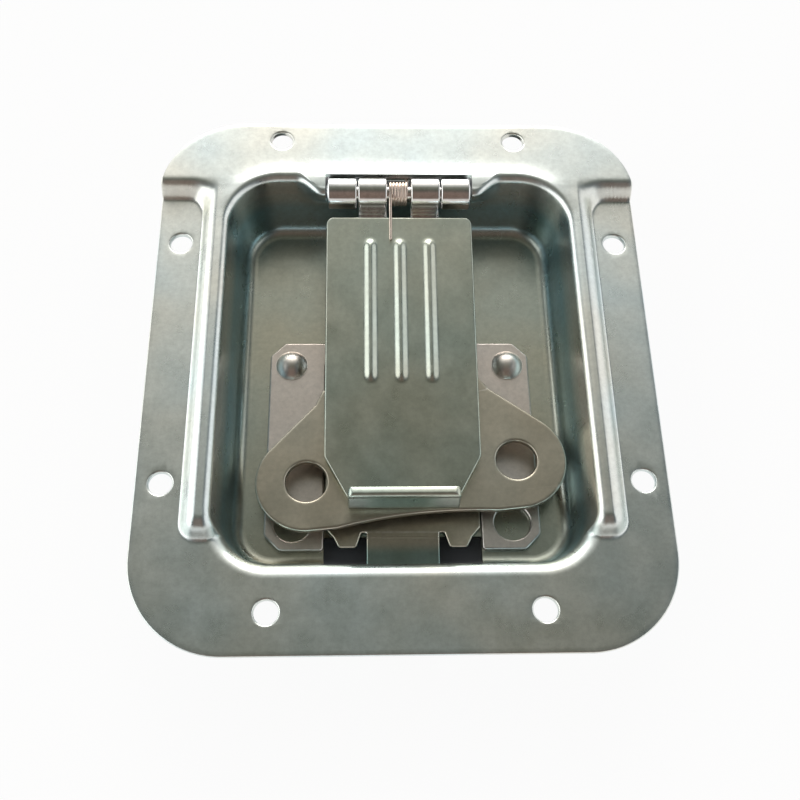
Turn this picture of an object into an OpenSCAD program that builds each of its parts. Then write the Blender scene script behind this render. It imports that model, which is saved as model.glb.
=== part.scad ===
// Recessed twist latch for a transport case: a pressed dish with a sprung cover flap,
// a folding two-lobed turning wing and a sliding hook, all in zinc-plated steel.
// X runs across the flange, Y up its face, Z out of the case. The origin is midway between
// the four side holes, in the plane of the flange's back, which lies on the case panel.

/* [Flange] */
// Width of the flange
flange_w = 112; // [106:1:124]
// Height of the flange
flange_h = 126; // [122:1:138]
// Height of the flange's top edge above the centre of the side holes
flange_up = 60.9; // [58:0.1:66]
// Corner radius of the flange
flange_corner_r = 20; // [10:1:24]
// Thickness of the pressed sheet
sheet_t = 1.2; // [0.9:0.1:1.5]
// Step of the raised upper strip above the rest of the flange
strip_raise = 4.2; // [3:0.1:5.5]
// Height of the raised strip, from the top edge of the flange
strip_depth = 17; // [14:0.5:19]
// Length of the joggle that leads up to the strip
strip_ramp = 2.4; // [1.6:0.1:4]

/* [Rivet holes] */
// Diameter of the rivet holes in the flange
rivet_hole_d = 5; // [3.5:0.1:6]
// Distance of the side holes from the side edges
side_hole_edge = 5.3; // [4.5:0.1:6]
// Distance between the upper and the lower side holes
side_hole_pitch = 59; // [44:0.2:66]
// Distance across the two top holes, and across the two bottom holes
end_hole_pitch = 55.6; // [44:0.2:64]
// Distance of the top holes from the top edge
top_hole_edge = 5; // [4.5:0.1:6.5]
// Distance of the bottom holes from the bottom edge
bottom_hole_edge = 8.6; // [5.5:0.1:11]

/* [Dish] */
// Width of the dish opening at the crest of its rim
cavity_w = 79.6; // [76:0.2:84]
// Height of the dish opening at the crest of its rim
cavity_len = 92.3; // [88:0.2:96]
// Distance of the dish opening from the top edge of the flange
cavity_top = 16.2; // [14.5:0.1:19]
// Corner radius of the dish opening
cavity_corner_r = 12; // [9:0.5:14]
// Depth of the dish floor below the face of the flange
dish_depth = 13; // [11.5:0.1:16]
// Draft of the dish walls
draft = 10.5; // [6:0.5:13]
// Fillet between floor and walls
floor_fillet = 3; // [2:0.1:4]
// Rounding of the rim crest
crest_r = 3; // [2:0.1:3.6]
// Rounding of the lower rim, which has no ridge
lower_rim_r = 2.2; // [1.6:0.1:3]
// Width of the ridge beside the opening, crest and outer flank
ridge_w = 6.7; // [5.6:0.1:8]
// Width of the outer flank of the ridge
ridge_flank = 2.8; // [2:0.1:2.9]
// Height of the ridge ends above the lower edge of the opening
ridge_end_up = 5.4; // [3:0.1:7]
// Rounding of the ridge ends, seen from the front
ridge_end_r = 4.2; // [4.2:0.1:6]

/* [Base plate] */
// Width of the base plate
base_w = 60.2; // [54:0.2:62]
// Thickness of the base plate
base_t = 1.6; // [1.2:0.1:1.8]
// Top edge of the base plate above the rotor axis
base_up = 14.3; // [12.8:0.1:16]
// Bevel of the corners of the base plate
base_bevel = 3.4; // [2:0.2:5]
// Gap between the base plate and the fillet of the dish
base_edge_gap = 1; // [0.5:0.1:3]
// Distance across the two base rivets
base_rivet_pitch = 50.2; // [46:0.2:51]
// Height of the base rivets above the rotor axis
base_rivet_up = 8.4; // [7:0.1:9.5]
// Diameter of the rivet heads
base_rivet_head_d = 7.4; // [5.5:0.1:7.8]
// Height of the rivet heads
base_rivet_head_h = 2.1; // [1.5:0.1:2.4]
// Diameter of the rivet shanks
base_rivet_d = 4; // [3:0.1:4.4]
// Diameter of the holes in the lower corners of the base plate
base_hole_d = 8; // [5:0.2:9]
// Distance across those holes
base_hole_pitch = 48; // [45:0.2:49]
// Height of those holes above the lower edge of the base plate
base_hole_up = 6; // [5.2:0.1:9]

/* [Hook] */
// Width of the slot in the dish and in the base plate that the hook runs in
slot_w = 34.4; // [32.5:0.2:36]
// Side clearance of the hook plate in that slot
hook_side_clear = 0.3; // [0.2:0.05:0.6]
// Clearance below the hook plate
hook_under_clear = 0.2; // [0.1:0.05:0.4]
// Thickness of the hook plate
hook_t = 1.5; // [1.2:0.1:1.8]
// Top end of the hook plate above the rotor axis
hook_up = 9.2; // [8.8:0.1:9.6]
// Width of the nose that reaches out of the dish
nose_w = 15.8; // [12:0.2:18]
// Distance of the bend in the nose from the lower edge of the opening, inwards
nose_bend_in = 9.5; // [8:0.1:11]
// Reach of the nose past the lower edge of the opening
nose_reach = 11.5; // [8:0.1:12.5]
// Height of the lip on the nose
nose_lip_h = 5; // [3:0.1:6.5]
// Width of the bend reliefs beside the nose
relief_w = 1.1; // [0.8:0.1:2]
// Width across the tabs beside the nose
tab_w = 30; // [27:0.2:32]
// Top of the hook slot in the lower dish wall, below the face of the flange
slot_top_down = 3; // [2.6:0.1:6]

/* [Rotor] */
// Height of the rotor axis above the lower edge of the opening
rotor_up = 42.5; // [41:0.1:44]
// Diameter of the rotor disc
rotor_d = 25; // [24:0.2:27]
// Thickness of the rotor disc
rotor_t = 1.7; // [1.5:0.1:2.2]
// Diameter of the rotor hub that passes through the hook plate
hub_d = 8.2; // [7.6:0.1:8.4]
// Diameter of the stud that the rotor turns on
stud_d = 5; // [4:0.1:5.2]
// Diameter of the stud head
stud_head_d = 8; // [7.4:0.1:9]
// Thickness of the stud head
stud_head_t = 0.9; // [0.7:0.05:1]
// Thickness of the washer under the hub
washer_t = 0.5; // [0.3:0.05:0.6]
// Free height of the spring washer under the stud head
spring_washer_h = 0.4; // [0.3:0.05:0.5]
// Throw of the crank that drives the hook
crank_throw = 6.4; // [6.2:0.05:6.6]
// Diameter of the crank pin
crank_d = 4; // [3.4:0.1:4.2]
// Play of the crank pin in its slot, each side
crank_play = 0.35; // [0.3:0.05:0.6]
// Gap between parts that slide or turn over one another
slide_gap = 0.1; // [0.05:0.05:0.2]
// Radial clearance of a pin that turns in its bore
run_clear = 0.05; // [0.02:0.01:0.1]
// Radial clearance of a rivet in its hole
rivet_clear = 0.02; // [0.01:0.01:0.05]

/* [Wing] */
// Thickness of the wing
wing_t = 1.8; // [1.4:0.1:2]
// Radius of the wing's lobes
lobe_r = 11; // [9:0.1:11.4]
// Gap between the lobes and the crest of the rim, with the wing straight
wing_side_gap = 5.8; // [5.4:0.1:8]
// Drop of the lobe centres below the hinge line of the wing
lobe_drop = 19.8; // [18:0.1:20.2]
// Diameter of the holes in the lobes
lobe_hole_d = 9; // [6:0.1:10]
// Width of the wing across its shoulders
shoulder_w = 39; // [36:0.2:40]
// Drop of the shoulders below the hinge line
shoulder_drop = 2; // [1:0.1:3]
// Hollow of the wing's lower edge
wing_hollow = 1.3; // [0.6:0.1:2]
// Turn of the wing in the closed latch
wing_turn = 6; // [4:0.1:6.5]
// Length of the wing's knuckle
wing_knuckle_l = 14.4; // [12:0.2:16]
// Outer radius of the wing's knuckle and of the rotor ears
wing_knuckle_r = 2.4; // [2.2:0.05:2.6]
// Diameter of the wing's hinge pin
wing_pin_d = 2.6; // [2:0.1:2.8]
// Thickness of the rotor ears
ear_t = 2.8; // [2.2:0.1:3.2]
// Gap beside the rotor ears
ear_gap = 0.3; // [0.2:0.05:0.5]

/* [Flap] */
// Width of the flap
flap_w = 34; // [31:0.2:36]
// Thickness of the flap
flap_t = 1.4; // [1.1:0.1:1.7]
// Length of the flap from its hinge to its lip
flap_len = 74; // [71:0.2:75.5]
// Gap between the hinge axis and the crest of the upper rim
hinge_in = 2.8; // [2.4:0.1:3.4]
// Gap between the hinge axis and the square end of the flap
flap_start = 6.6; // [4.1:0.1:8]
// Corner radius at the hinge end of the flap
flap_corner_r = 2.6; // [1:0.1:4]
// Width of the lip at the free end
lip_w = 23.6; // [18:0.2:26]
// Length of the tapered end of the flap
taper_len = 9.4; // [6:0.2:14]
// Angle that the lip is bent up by, past square, so that a fingertip gets behind it
lip_angle = 115; // [90:1:130]
// Straight length of the lip beyond its bend
lip_run = 6; // [2:0.1:7]
// Outer bend radius of the lip
lip_bend_r = 2.2; // [1.8:0.1:3]
// Gap between the closed flap and the wing
flap_rest_gap = 0.3; // [0.2:0.05:0.6]
// Distance between the pressed ribs
rib_pitch = 6.8; // [5:0.1:9]
// Width of the ribs
rib_w = 2.7; // [2:0.1:3.4]
// Height of the ribs
rib_h = 0.7; // [0.4:0.05:1]
// Start of the ribs, from the hinge axis
rib_from = 14; // [11:0.5:18]
// End of the ribs, from the hinge axis
rib_to = 46; // [36:0.5:56]

/* [Flap hinge] */
// Outer diameter of the hinge barrel
barrel_d = 7.2; // [6.4:0.1:7.6]
// Diameter of the hinge pin
hinge_pin_d = 3.6; // [3:0.1:4]
// Setback of the hinge barrel from each side of the flap
barrel_inset = 0.3; // [0:0.1:1]
// Gap between two knuckles
knuckle_gap = 0.3; // [0.2:0.05:0.5]
// Gap in the middle of the barrel, which holds the spring
spring_gap = 5.6; // [5:0.1:6.4]
// Thickness of the fixed leaf
leaf_t = 1.5; // [1.2:0.1:1.8]
// Length of the fixed leaf behind the hinge axis
leaf_len = 12; // [9:0.2:13]
// Clearance of the notch in the rim around the barrel
notch_clear = 0.6; // [0.4:0.1:1]
// Standing out of the hinge pin past the barrel, each end
pin_end = 0.5; // [0.3:0.1:1]
// Wire diameter of the flap spring
wire_d = 0.9; // [0.7:0.05:1]
// Coils of the flap spring
spring_turns = 5; // [3:1:5]
// Length of the spring leg on the flap
spring_leg = 10.5; // [8:0.5:14]

/* [Hidden] */
$fn = 48;
// Steps of a rounding in a pressed profile
bend_steps = 6;
// Allowance by which a cutting shape passes the face it cuts
past = 1;
zinc = [0.72, 0.76, 0.76];
bright_zinc = [0.82, 0.85, 0.86];
spring_steel = [0.50, 0.47, 0.44];

// Heights
face_z = sheet_t;
crest_z = sheet_t + strip_raise;
floor_z = face_z - dish_depth;
back_z = floor_z - sheet_t;
hook_z = floor_z + hook_under_clear;
rotor_z = hook_z + hook_t + slide_gap;
rotor_top_z = rotor_z + rotor_t;
wing_z = rotor_top_z + ear_gap + wing_knuckle_r;
wing_top_z = wing_z + wing_t / 2;
hinge_z = strip_raise - leaf_t / 2;

// Places on the face
half_w = flange_w / 2;
top_y = flange_up;
bottom_y = flange_up - flange_h;
cavity_x = cavity_w / 2;
cavity_y1 = top_y - cavity_top;
cavity_y0 = cavity_y1 - cavity_len;
strip_y = top_y - strip_depth;
rotor_y = cavity_y0 + rotor_up;
hinge_y = cavity_y1 - hinge_in;

// Dish profile: how far the wall has moved in at the floor, and where its fillet ends
wall_in = (crest_z - floor_z) * tan(draft);
fillet_run = floor_fillet * tan((90 - draft) / 2);
floor_y0 = cavity_y0 + wall_in + fillet_run;

// Base plate
base_y0 = floor_y0 + base_edge_gap;
base_y1 = rotor_y + base_up;
base_top_z = floor_z + base_t;

// Wing and flap
lobe_x = cavity_x - wing_side_gap - lobe_r;
flap_slope = atan((hinge_z - wing_top_z - flap_rest_gap - flap_t / 2) / flap_len);

// Bend of the hook's nose, where the slot in the dish floor begins
nose_bend_y = cavity_y0 + nose_bend_in;

// Crank at rest: a quarter turn takes it from 45 degrees above the axis to 45 below,
// and the hook out by 1.41 times the throw
crank_rest = 45;

// Points of an arc about a centre, from one angle to another
function arc(c, r, a0, a1) =
    [for (i = [0 : bend_steps]) let (a = a0 + (a1 - a0) * i / bend_steps)
        [c[0] + r * cos(a), c[1] + r * sin(a)]];

// Wall of the dish as [outward, z] points from the floor up to a rim at a given height.
// The first coordinate is counted from the wall at the crest, and off is an outward offset
// that gives the outside of the sheet.
function wall_at(z) = (z - crest_z) * tan(draft);
function wall_points(rim_z, rim_r, off) = let (
    fc = [-wall_in - fillet_run, floor_z + floor_fillet],
    rc_z = rim_z - rim_r,
    rc = [wall_at(rim_z) + rim_r * tan((90 - draft) / 2), rc_z])
    concat(arc(fc, floor_fillet + off, -90, -draft),
           arc(rc, rim_r - off, 180 - draft, 90));

module rounded_plate(w, h, r) {
    union() {
        square([w - 2 * r, h], center = true);
        square([w, h - 2 * r], center = true);
        for (sx = [-1, 1], sy = [-1, 1])
            translate([sx * (w / 2 - r), sy * (h / 2 - r)]) circle(r);
    }
}

module bevelled_plate(w, h, c) {
    polygon([for (q = [[1, 1], [-1, 1], [-1, -1], [1, -1]], first = [true, false])
        let (along = (q[0] * q[1] > 0) == first)
        [q[0] * (w / 2 - (along ? 0 : c)), q[1] * (h / 2 - (along ? c : 0))]]);
}

// Room of the dish, open to the front, or with an offset the outside of its sheet
module dish_room(off, top_z) {
    r = cavity_corner_r;
    ridge = wall_points(crest_z, crest_r, off);
    plain = wall_points(face_z, lower_rim_r, off);
    reach = ridge[len(ridge) - 1][0];
    low_reach = plain[len(plain) - 1][0];
    // side walls
    translate([0, cavity_y1 - r, 0]) rotate([90, 0, 0]) linear_extrude(cavity_len - 2 * r)
        polygon(concat([for (p = ridge) [cavity_x + p[0], p[1]]],
                       [[cavity_x + reach, top_z], [-cavity_x - reach, top_z]],
                       [for (i = [len(ridge) - 1 : -1 : 0]) [-cavity_x - ridge[i][0], ridge[i][1]]]));
    // upper and lower walls
    translate([-(cavity_x - r), 0, 0]) rotate([90, 0, 90]) linear_extrude(cavity_w - 2 * r)
        polygon(concat([for (p = ridge) [cavity_y1 + p[0], p[1]]],
                       [[cavity_y1 + reach, top_z], [cavity_y0 - low_reach, top_z]],
                       [for (i = [len(plain) - 1 : -1 : 0]) [cavity_y0 - plain[i][0], plain[i][1]]]));
    // corners
    for (sx = [-1, 1], upper = [true, false])
        translate([sx * (cavity_x - r), upper ? cavity_y1 - r : cavity_y0 + r, 0])
            rotate(upper ? (sx > 0 ? 0 : 90) : (sx > 0 ? -90 : 180))
                rotate_extrude(angle = 90)
                    polygon(concat([[0, ridge[0][1]]], [for (p = ridge) [r + p[0], p[1]]],
                                   [[r + reach, top_z], [0, top_z]]));
}

// Everything below the front of the flange, or with an inset everything behind its back
module flange_body(inset) {
    z0 = back_z - past;
    crest = crest_z - inset;
    face = face_z - inset;
    strip_foot = strip_y - strip_ramp + inset * tan(45 / 2);
    ridge_x = cavity_x + ridge_w - inset;
    r = ridge_end_r - inset;
    ridge_y = cavity_y0 + ridge_end_up + ridge_end_r;
    // flange and raised strip
    translate([-half_w - past, 0, 0]) rotate([90, 0, 90]) linear_extrude(flange_w + 2 * past)
        polygon([[bottom_y - past, z0], [bottom_y - past, face], [strip_foot, face],
                 [strip_foot + strip_ramp, crest], [top_y + past, crest], [top_y + past, z0]]);
    // ridges with their round ends
    translate([0, strip_y, 0]) rotate([90, 0, 0]) linear_extrude(strip_y - ridge_y)
        polygon([[-ridge_x, z0], [-ridge_x, face], [-ridge_x + ridge_flank, crest],
                 [ridge_x - ridge_flank, crest], [ridge_x, face], [ridge_x, z0]]);
    for (s = [-1, 1])
        translate([s * (ridge_x - r), ridge_y, 0]) rotate(180) rotate_extrude(angle = 180)
            polygon([[0, z0], [r, z0], [r, face], [r - ridge_flank, crest], [0, crest]]);
}

module flange_holes() {
    for (s = [-1, 1]) {
        for (y = [side_hole_pitch / 2, -side_hole_pitch / 2])
            translate([s * (half_w - side_hole_edge), y, -past])
                cylinder(d = rivet_hole_d, h = face_z + 2 * past);
        translate([s * end_hole_pitch / 2, top_y - top_hole_edge, 0])
            cylinder(d = rivet_hole_d, h = crest_z + past);
        translate([s * end_hole_pitch / 2, bottom_y + bottom_hole_edge, -past])
            cylinder(d = rivet_hole_d, h = face_z + 2 * past);
    }
}

// Hinge barrel: half of its length, its four knuckles, and the notch that it lies in
barrel_half = flap_w / 2 - barrel_inset;
knuckle_l = (barrel_half - spring_gap / 2 - knuckle_gap) / 2;
notch_half = barrel_half + pin_end + notch_clear;
leaf_pass_h = strip_raise - hinge_z + barrel_d / 2 + notch_clear;

module dish() {
    color(zinc) difference() {
        intersection() {
            flange_body(0);
            translate([0, (top_y + bottom_y) / 2, back_z]) linear_extrude(crest_z - back_z)
                rounded_plate(flange_w, flange_h, flange_corner_r);
        }
        difference() {
            flange_body(sheet_t);
            intersection() {
                dish_room(sheet_t, crest_z + past);
                translate([-half_w, bottom_y, back_z]) cube([flange_w, flange_h, crest_z - back_z + past]);
            }
        }
        dish_room(0, crest_z + past);
        flange_holes();
        // slot for the hook through floor edge and lower wall
        translate([-slot_w / 2, cavity_y0 - past - lower_rim_r, back_z - past])
            cube([slot_w, nose_bend_y + hook_side_clear - cavity_y0 + past + lower_rim_r,
                  face_z - slot_top_down - back_z + past]);
        // notch in the upper rim for the hinge barrel, and the passage of its leaf under the strip
        translate([-notch_half, hinge_y - barrel_d, hinge_z - barrel_d / 2 - notch_clear])
            cube([2 * notch_half, barrel_d * 1.5 + notch_clear, barrel_d * 2]);
        translate([-notch_half, hinge_y, hinge_z - barrel_d / 2 - notch_clear])
            cube([2 * notch_half, hinge_in + crest_r + sheet_t, leaf_pass_h]);
        // holes for the stud and the base rivets
        translate([0, rotor_y, back_z - past])
            cylinder(d = stud_d + 2 * rivet_clear, h = sheet_t + 2 * past);
        for (s = [-1, 1]) translate([s * base_rivet_pitch / 2, rotor_y + base_rivet_up, back_z - past])
            cylinder(d = base_rivet_d + 2 * rivet_clear, h = sheet_t + 2 * past);
    }
}

module base_plate() {
    h = base_y1 - base_y0;
    hook_top = rotor_y + hook_up + hook_side_clear;
    color(zinc) translate([0, 0, floor_z]) difference() {
        translate([0, base_y0 + h / 2, 0]) linear_extrude(base_t) bevelled_plate(base_w, h, base_bevel);
        translate([-slot_w / 2, base_y0 - past, -past])
            cube([slot_w, hook_top - base_y0 + past, base_t + 2 * past]);
        for (s = [-1, 1]) {
            translate([s * base_rivet_pitch / 2, rotor_y + base_rivet_up, -past])
                cylinder(d = base_rivet_d + 2 * rivet_clear, h = base_t + 2 * past);
            translate([s * base_hole_pitch / 2, base_y0 + base_hole_up, -past])
                cylinder(d = base_hole_d, h = base_t + 2 * past);
        }
    }
}

// Rivet with a domed head on the base plate and its tail set flush with the back of the dish
module base_rivet(side) {
    head_r = base_rivet_head_d / 2;
    dome_r = (head_r * head_r + base_rivet_head_h * base_rivet_head_h) / (2 * base_rivet_head_h);
    color(bright_zinc) translate([side * base_rivet_pitch / 2, rotor_y + base_rivet_up, 0]) union() {
        translate([0, 0, back_z]) cylinder(d = base_rivet_d, h = base_top_z - back_z + base_rivet_head_h / 2);
        translate([0, 0, base_top_z]) intersection() {
            translate([0, 0, base_rivet_head_h - dome_r]) sphere(dome_r);
            cylinder(r = head_r, h = base_rivet_head_h);
        }
    }
}
module base_rivet_left() { base_rivet(-1); }
module base_rivet_right() { base_rivet(1); }

// Tube along X between two places
module tube_x(x0, x1, r, bore_r) {
    translate([x0, 0, 0]) rotate([0, 90, 0]) difference() {
        cylinder(r = r, h = x1 - x0);
        translate([0, 0, -past]) cylinder(r = bore_r, h = x1 - x0 + 2 * past);
    }
}

// Leaf welded under the raised strip, with the two outer knuckles
module hinge_leaf() {
    inner = barrel_half - knuckle_l;
    color(bright_zinc) translate([0, hinge_y, hinge_z]) union() {
        for (s = [-1, 1])
            tube_x(s > 0 ? inner : -barrel_half, s > 0 ? barrel_half : -inner,
                   barrel_d / 2, hinge_pin_d / 2 + rivet_clear);
        difference() {
            translate([-barrel_half, 0, -leaf_t / 2]) cube([2 * barrel_half, leaf_len, leaf_t]);
            rotate([0, 90, 0]) cylinder(d = hinge_pin_d + 2 * rivet_clear, h = 2 * flap_w, center = true);
            // room for the knuckles of the flap and for the spring
            translate([-inner - knuckle_gap, -past, -leaf_t])
                cube([2 * (inner + knuckle_gap), barrel_d / 2 + notch_clear + past, 2 * leaf_t]);
        }
    }
}

module hinge_pin() {
    half = barrel_half + pin_end;
    color(bright_zinc) translate([0, hinge_y, hinge_z]) rotate([0, 90, 0]) union() {
        cylinder(d = hinge_pin_d, h = 2 * half, center = true);
        for (s = [-1, 1]) translate([0, 0, s * (half - pin_end / 2)])
            cylinder(d = hinge_pin_d * 1.25, h = pin_end, center = true);
    }
}

// Frame of the closed flap: origin on the hinge axis, -Y along the flap, +Z out of its face
module flap_frame() {
    translate([0, hinge_y, hinge_z]) rotate([flap_slope, 0, 0]) children();
}

module flap_outline() {
    end = flap_len;
    r = flap_corner_r;
    union() {
        polygon([[-flap_w / 2, -flap_start - r], [flap_w / 2, -flap_start - r],
                 [flap_w / 2, -end + taper_len], [lip_w / 2, -end], [-lip_w / 2, -end],
                 [-flap_w / 2, -end + taper_len]]);
        translate([-flap_w / 2 + r, -flap_start - 2 * r]) square([flap_w - 2 * r, 2 * r]);
        for (s = [-1, 1]) translate([s * (flap_w / 2 - r), -flap_start - r]) circle(r);
    }
}

// Pressed rib: a round bar with ball ends, sunk so that only its crown stands out
module rib(r) {
    sink = (rib_w * rib_w / 4 + rib_h * rib_h) / (2 * rib_h) - rib_h;
    translate([0, -rib_from, flap_t / 2 - sink]) union() {
        rotate([90, 0, 0]) cylinder(r = r, h = rib_to - rib_from);
        sphere(r);
        translate([0, rib_from - rib_to, 0]) sphere(r);
    }
}

// End of the lip on its outer or inner side, counted from the middle of its bend
function lip_tip(r) = [-r * sin(lip_angle) - lip_run * cos(lip_angle),
                       -r * cos(lip_angle) + lip_run * sin(lip_angle)];

module flap() {
    rib_r = (rib_w * rib_w / 4 + rib_h * rib_h) / (2 * rib_h);
    outer = lip_bend_r;
    color(zinc) flap_frame() union() {
        difference() {
            union() {
                translate([0, 0, -flap_t / 2]) linear_extrude(flap_t) flap_outline();
                // the ribs stand out of the face only
                intersection() {
                    for (i = [-1 : 1]) translate([i * rib_pitch, 0, 0]) rib(rib_r);
                    translate([-flap_w / 2, -flap_len, 0]) cube([flap_w, flap_len, flap_t + rib_h]);
                }
            }
            intersection() {
                for (i = [-1 : 1]) translate([i * rib_pitch, 0, 0]) rib(rib_r * 0.6);
                translate([-flap_w / 2, -flap_len, -flap_t]) cube([flap_w, flap_len, flap_t]);
            }
        }
        // lip bent up at the free end
        translate([-lip_w / 2, -flap_len, outer - flap_t / 2]) rotate([90, 0, 90]) linear_extrude(lip_w)
            polygon(concat(arc([0, 0], outer, -90, -90 - lip_angle),
                           [lip_tip(outer), lip_tip(outer - flap_t)],
                           arc([0, 0], outer - flap_t, -90 - lip_angle, -90)));
        // two inner knuckles, each with its neck to the plate
        for (s = [-1, 1]) {
            x0 = s > 0 ? spring_gap / 2 : -spring_gap / 2 - knuckle_l;
            difference() {
                union() {
                    translate([x0, 0, 0]) rotate([0, 90, 0]) cylinder(d = barrel_d, h = knuckle_l);
                    translate([x0, -flap_start - flap_corner_r, -flap_t / 2])
                        cube([knuckle_l, flap_start + flap_corner_r, flap_t]);
                }
                translate([x0 - past, 0, 0]) rotate([0, 90, 0])
                    cylinder(r = hinge_pin_d / 2 + run_clear, h = knuckle_l + 2 * past);
            }
        }
    }
}

// Round bar swept along a path of [x, y, z] points that keeps near the YZ plane
module wire(path, d, sides = 8) {
    n = len(path);
    rings = [for (i = [0 : n - 1]) let (
        a = path[max(i - 1, 0)],
        b = path[min(i + 1, n - 1)],
        t = (b - a) / norm(b - a),
        u = cross(t, [1, 0, 0]) / norm(cross(t, [1, 0, 0])),
        v = cross(t, u))
        for (k = [0 : sides - 1]) path[i] + d / 2 * (cos(360 * k / sides) * u + sin(360 * k / sides) * v)];
    polyhedron(points = rings, faces = concat(
        [[for (k = [0 : sides - 1]) k]],
        [for (i = [0 : n - 2], k = [0 : sides - 1]) let (m = (k + 1) % sides)
            [i * sides + k, (i + 1) * sides + k, (i + 1) * sides + m, i * sides + m]],
        [[for (k = [sides - 1 : -1 : 0]) (n - 1) * sides + k]]));
}

// Torsion spring in the middle of the barrel: one leg lies on the flap, the other on the leaf.
// Angles are counted in the YZ plane from +Y.
module flap_spring() {
    coil_r = hinge_pin_d / 2 + rivet_clear + wire_d * 0.75;
    pitch = (spring_gap - wire_d - 2 * knuckle_gap) / spring_turns;
    front = [-spring_leg, (flap_t + wire_d) / 2 + rivet_clear];
    front_d = norm(front);
    front_at = 180 - atan2(front[1], spring_leg) - acos(coil_r / front_d);
    back = [leaf_len - 2, -(leaf_t + wire_d) / 2 - rivet_clear];
    back_at = atan2(back[1], back[0]) - acos(coil_r / norm(back));
    sweep = 360 * spring_turns + front_at + flap_slope - back_at;
    steps = spring_turns * 16;
    x0 = -pitch * spring_turns / 2;
    leg = flap_slope;
    tip = [x0, front[0] * cos(leg) - front[1] * sin(leg), front[0] * sin(leg) + front[1] * cos(leg)];
    color(spring_steel) translate([0, hinge_y, hinge_z])
        wire(concat([tip],
            [for (i = [0 : steps]) let (a = front_at + leg - sweep * i / steps)
                [x0 + pitch * spring_turns * i / steps, coil_r * cos(a), coil_r * sin(a)]],
            [[-x0, back[0], back[1]]]), wire_d);
}

module rotor() {
    ear_in = wing_knuckle_l / 2 + ear_gap;
    seat_z = rotor_top_z - stud_head_t - spring_washer_h - slide_gap;
    color(zinc) translate([0, rotor_y, 0]) difference() {
        union() {
            translate([0, 0, rotor_z]) cylinder(d = rotor_d, h = rotor_t);
            translate([0, 0, floor_z + washer_t + slide_gap])
                cylinder(d = hub_d, h = rotor_top_z - floor_z - washer_t - slide_gap);
            rotate(wing_turn) for (s = [-1, 1]) translate([s * ear_in + (s < 0 ? -ear_t : 0), 0, 0]) union() {
                translate([0, 0, wing_z]) rotate([0, 90, 0]) cylinder(r = wing_knuckle_r, h = ear_t);
                translate([0, -wing_knuckle_r, rotor_z])
                    cube([ear_t, 2 * wing_knuckle_r, wing_z - rotor_z]);
            }
        }
        translate([0, 0, floor_z - past]) cylinder(d = stud_d + 2 * run_clear, h = dish_depth);
        translate([0, 0, seat_z]) cylinder(d = stud_head_d + 6 * run_clear, h = dish_depth);
        rotate(wing_turn) translate([0, 0, wing_z]) rotate([0, 90, 0])
            cylinder(d = wing_pin_d + 2 * rivet_clear, h = rotor_d, center = true);
        rotate(crank_rest) translate([crank_throw, 0, rotor_z - past])
            cylinder(d = crank_d + 2 * rivet_clear, h = rotor_t + 2 * past);
    }
}

// Stud riveted flush into the dish floor, with a flat head sunk in the rotor
module rotor_stud() {
    color(bright_zinc) translate([0, rotor_y, 0]) union() {
        translate([0, 0, back_z]) cylinder(d = stud_d, h = rotor_top_z - slide_gap - back_z);
        translate([0, 0, rotor_top_z - slide_gap - stud_head_t]) cylinder(d = stud_head_d, h = stud_head_t);
    }
}

module thrust_washer() {
    color(bright_zinc) translate([0, rotor_y, floor_z]) difference() {
        cylinder(d = hub_d, h = washer_t);
        translate([0, 0, -past]) cylinder(d = stud_d + 4 * run_clear, h = washer_t + 2 * past);
    }
}

// Coned spring washer that presses the rotor down
module spring_washer() {
    seat_z = rotor_top_z - stud_head_t - spring_washer_h - slide_gap;
    leaf = spring_washer_h / 2;
    color(spring_steel) translate([0, rotor_y, seat_z]) rotate_extrude()
        polygon([[stud_d / 2 + 2 * run_clear, leaf], [stud_head_d / 2, 0],
                 [stud_head_d / 2, leaf], [stud_d / 2 + 2 * run_clear, spring_washer_h]]);
}

module crank_pin() {
    color(bright_zinc) translate([0, rotor_y, 0]) rotate(crank_rest) translate([crank_throw, 0, hook_z])
        cylinder(d = crank_d, h = rotor_top_z - hook_z);
}

// Point where a line from p touches the circle about c, on the side given by s
function touch(p, c, r, s) = let (
    d = c - p,
    l = norm(d),
    a = atan2(d[1], d[0]) + s * asin(r / l))
    p + sqrt(l * l - r * r) * [cos(a), sin(a)];

module wing_outline() {
    lobe = [lobe_x, -lobe_drop];
    shoulder = [shoulder_w / 2, -shoulder_drop];
    outer = touch(shoulder, lobe, lobe_r, 1);
    low = -lobe_drop - lobe_r;
    span = lobe_x - lobe_r / 2;
    hollow_r = (span * span + wing_hollow * wing_hollow) / (2 * wing_hollow);
    top = shoulder_drop * 0.75;
    difference() {
        union() {
            polygon([[-shoulder_w / 2 + shoulder_drop, top], [shoulder_w / 2 - shoulder_drop, top],
                     shoulder, outer, lobe, [lobe_x, low], [-lobe_x, low], [-lobe[0], lobe[1]],
                     [-outer[0], outer[1]], [-shoulder[0], shoulder[1]]]);
            for (s = [-1, 1]) translate([s * lobe_x, -lobe_drop]) circle(lobe_r);
        }
        translate([0, low + wing_hollow - hollow_r]) circle(hollow_r, $fn = 180);
        for (s = [-1, 1]) translate([s * lobe_x, -lobe_drop]) circle(d = lobe_hole_d);
    }
}

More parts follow.
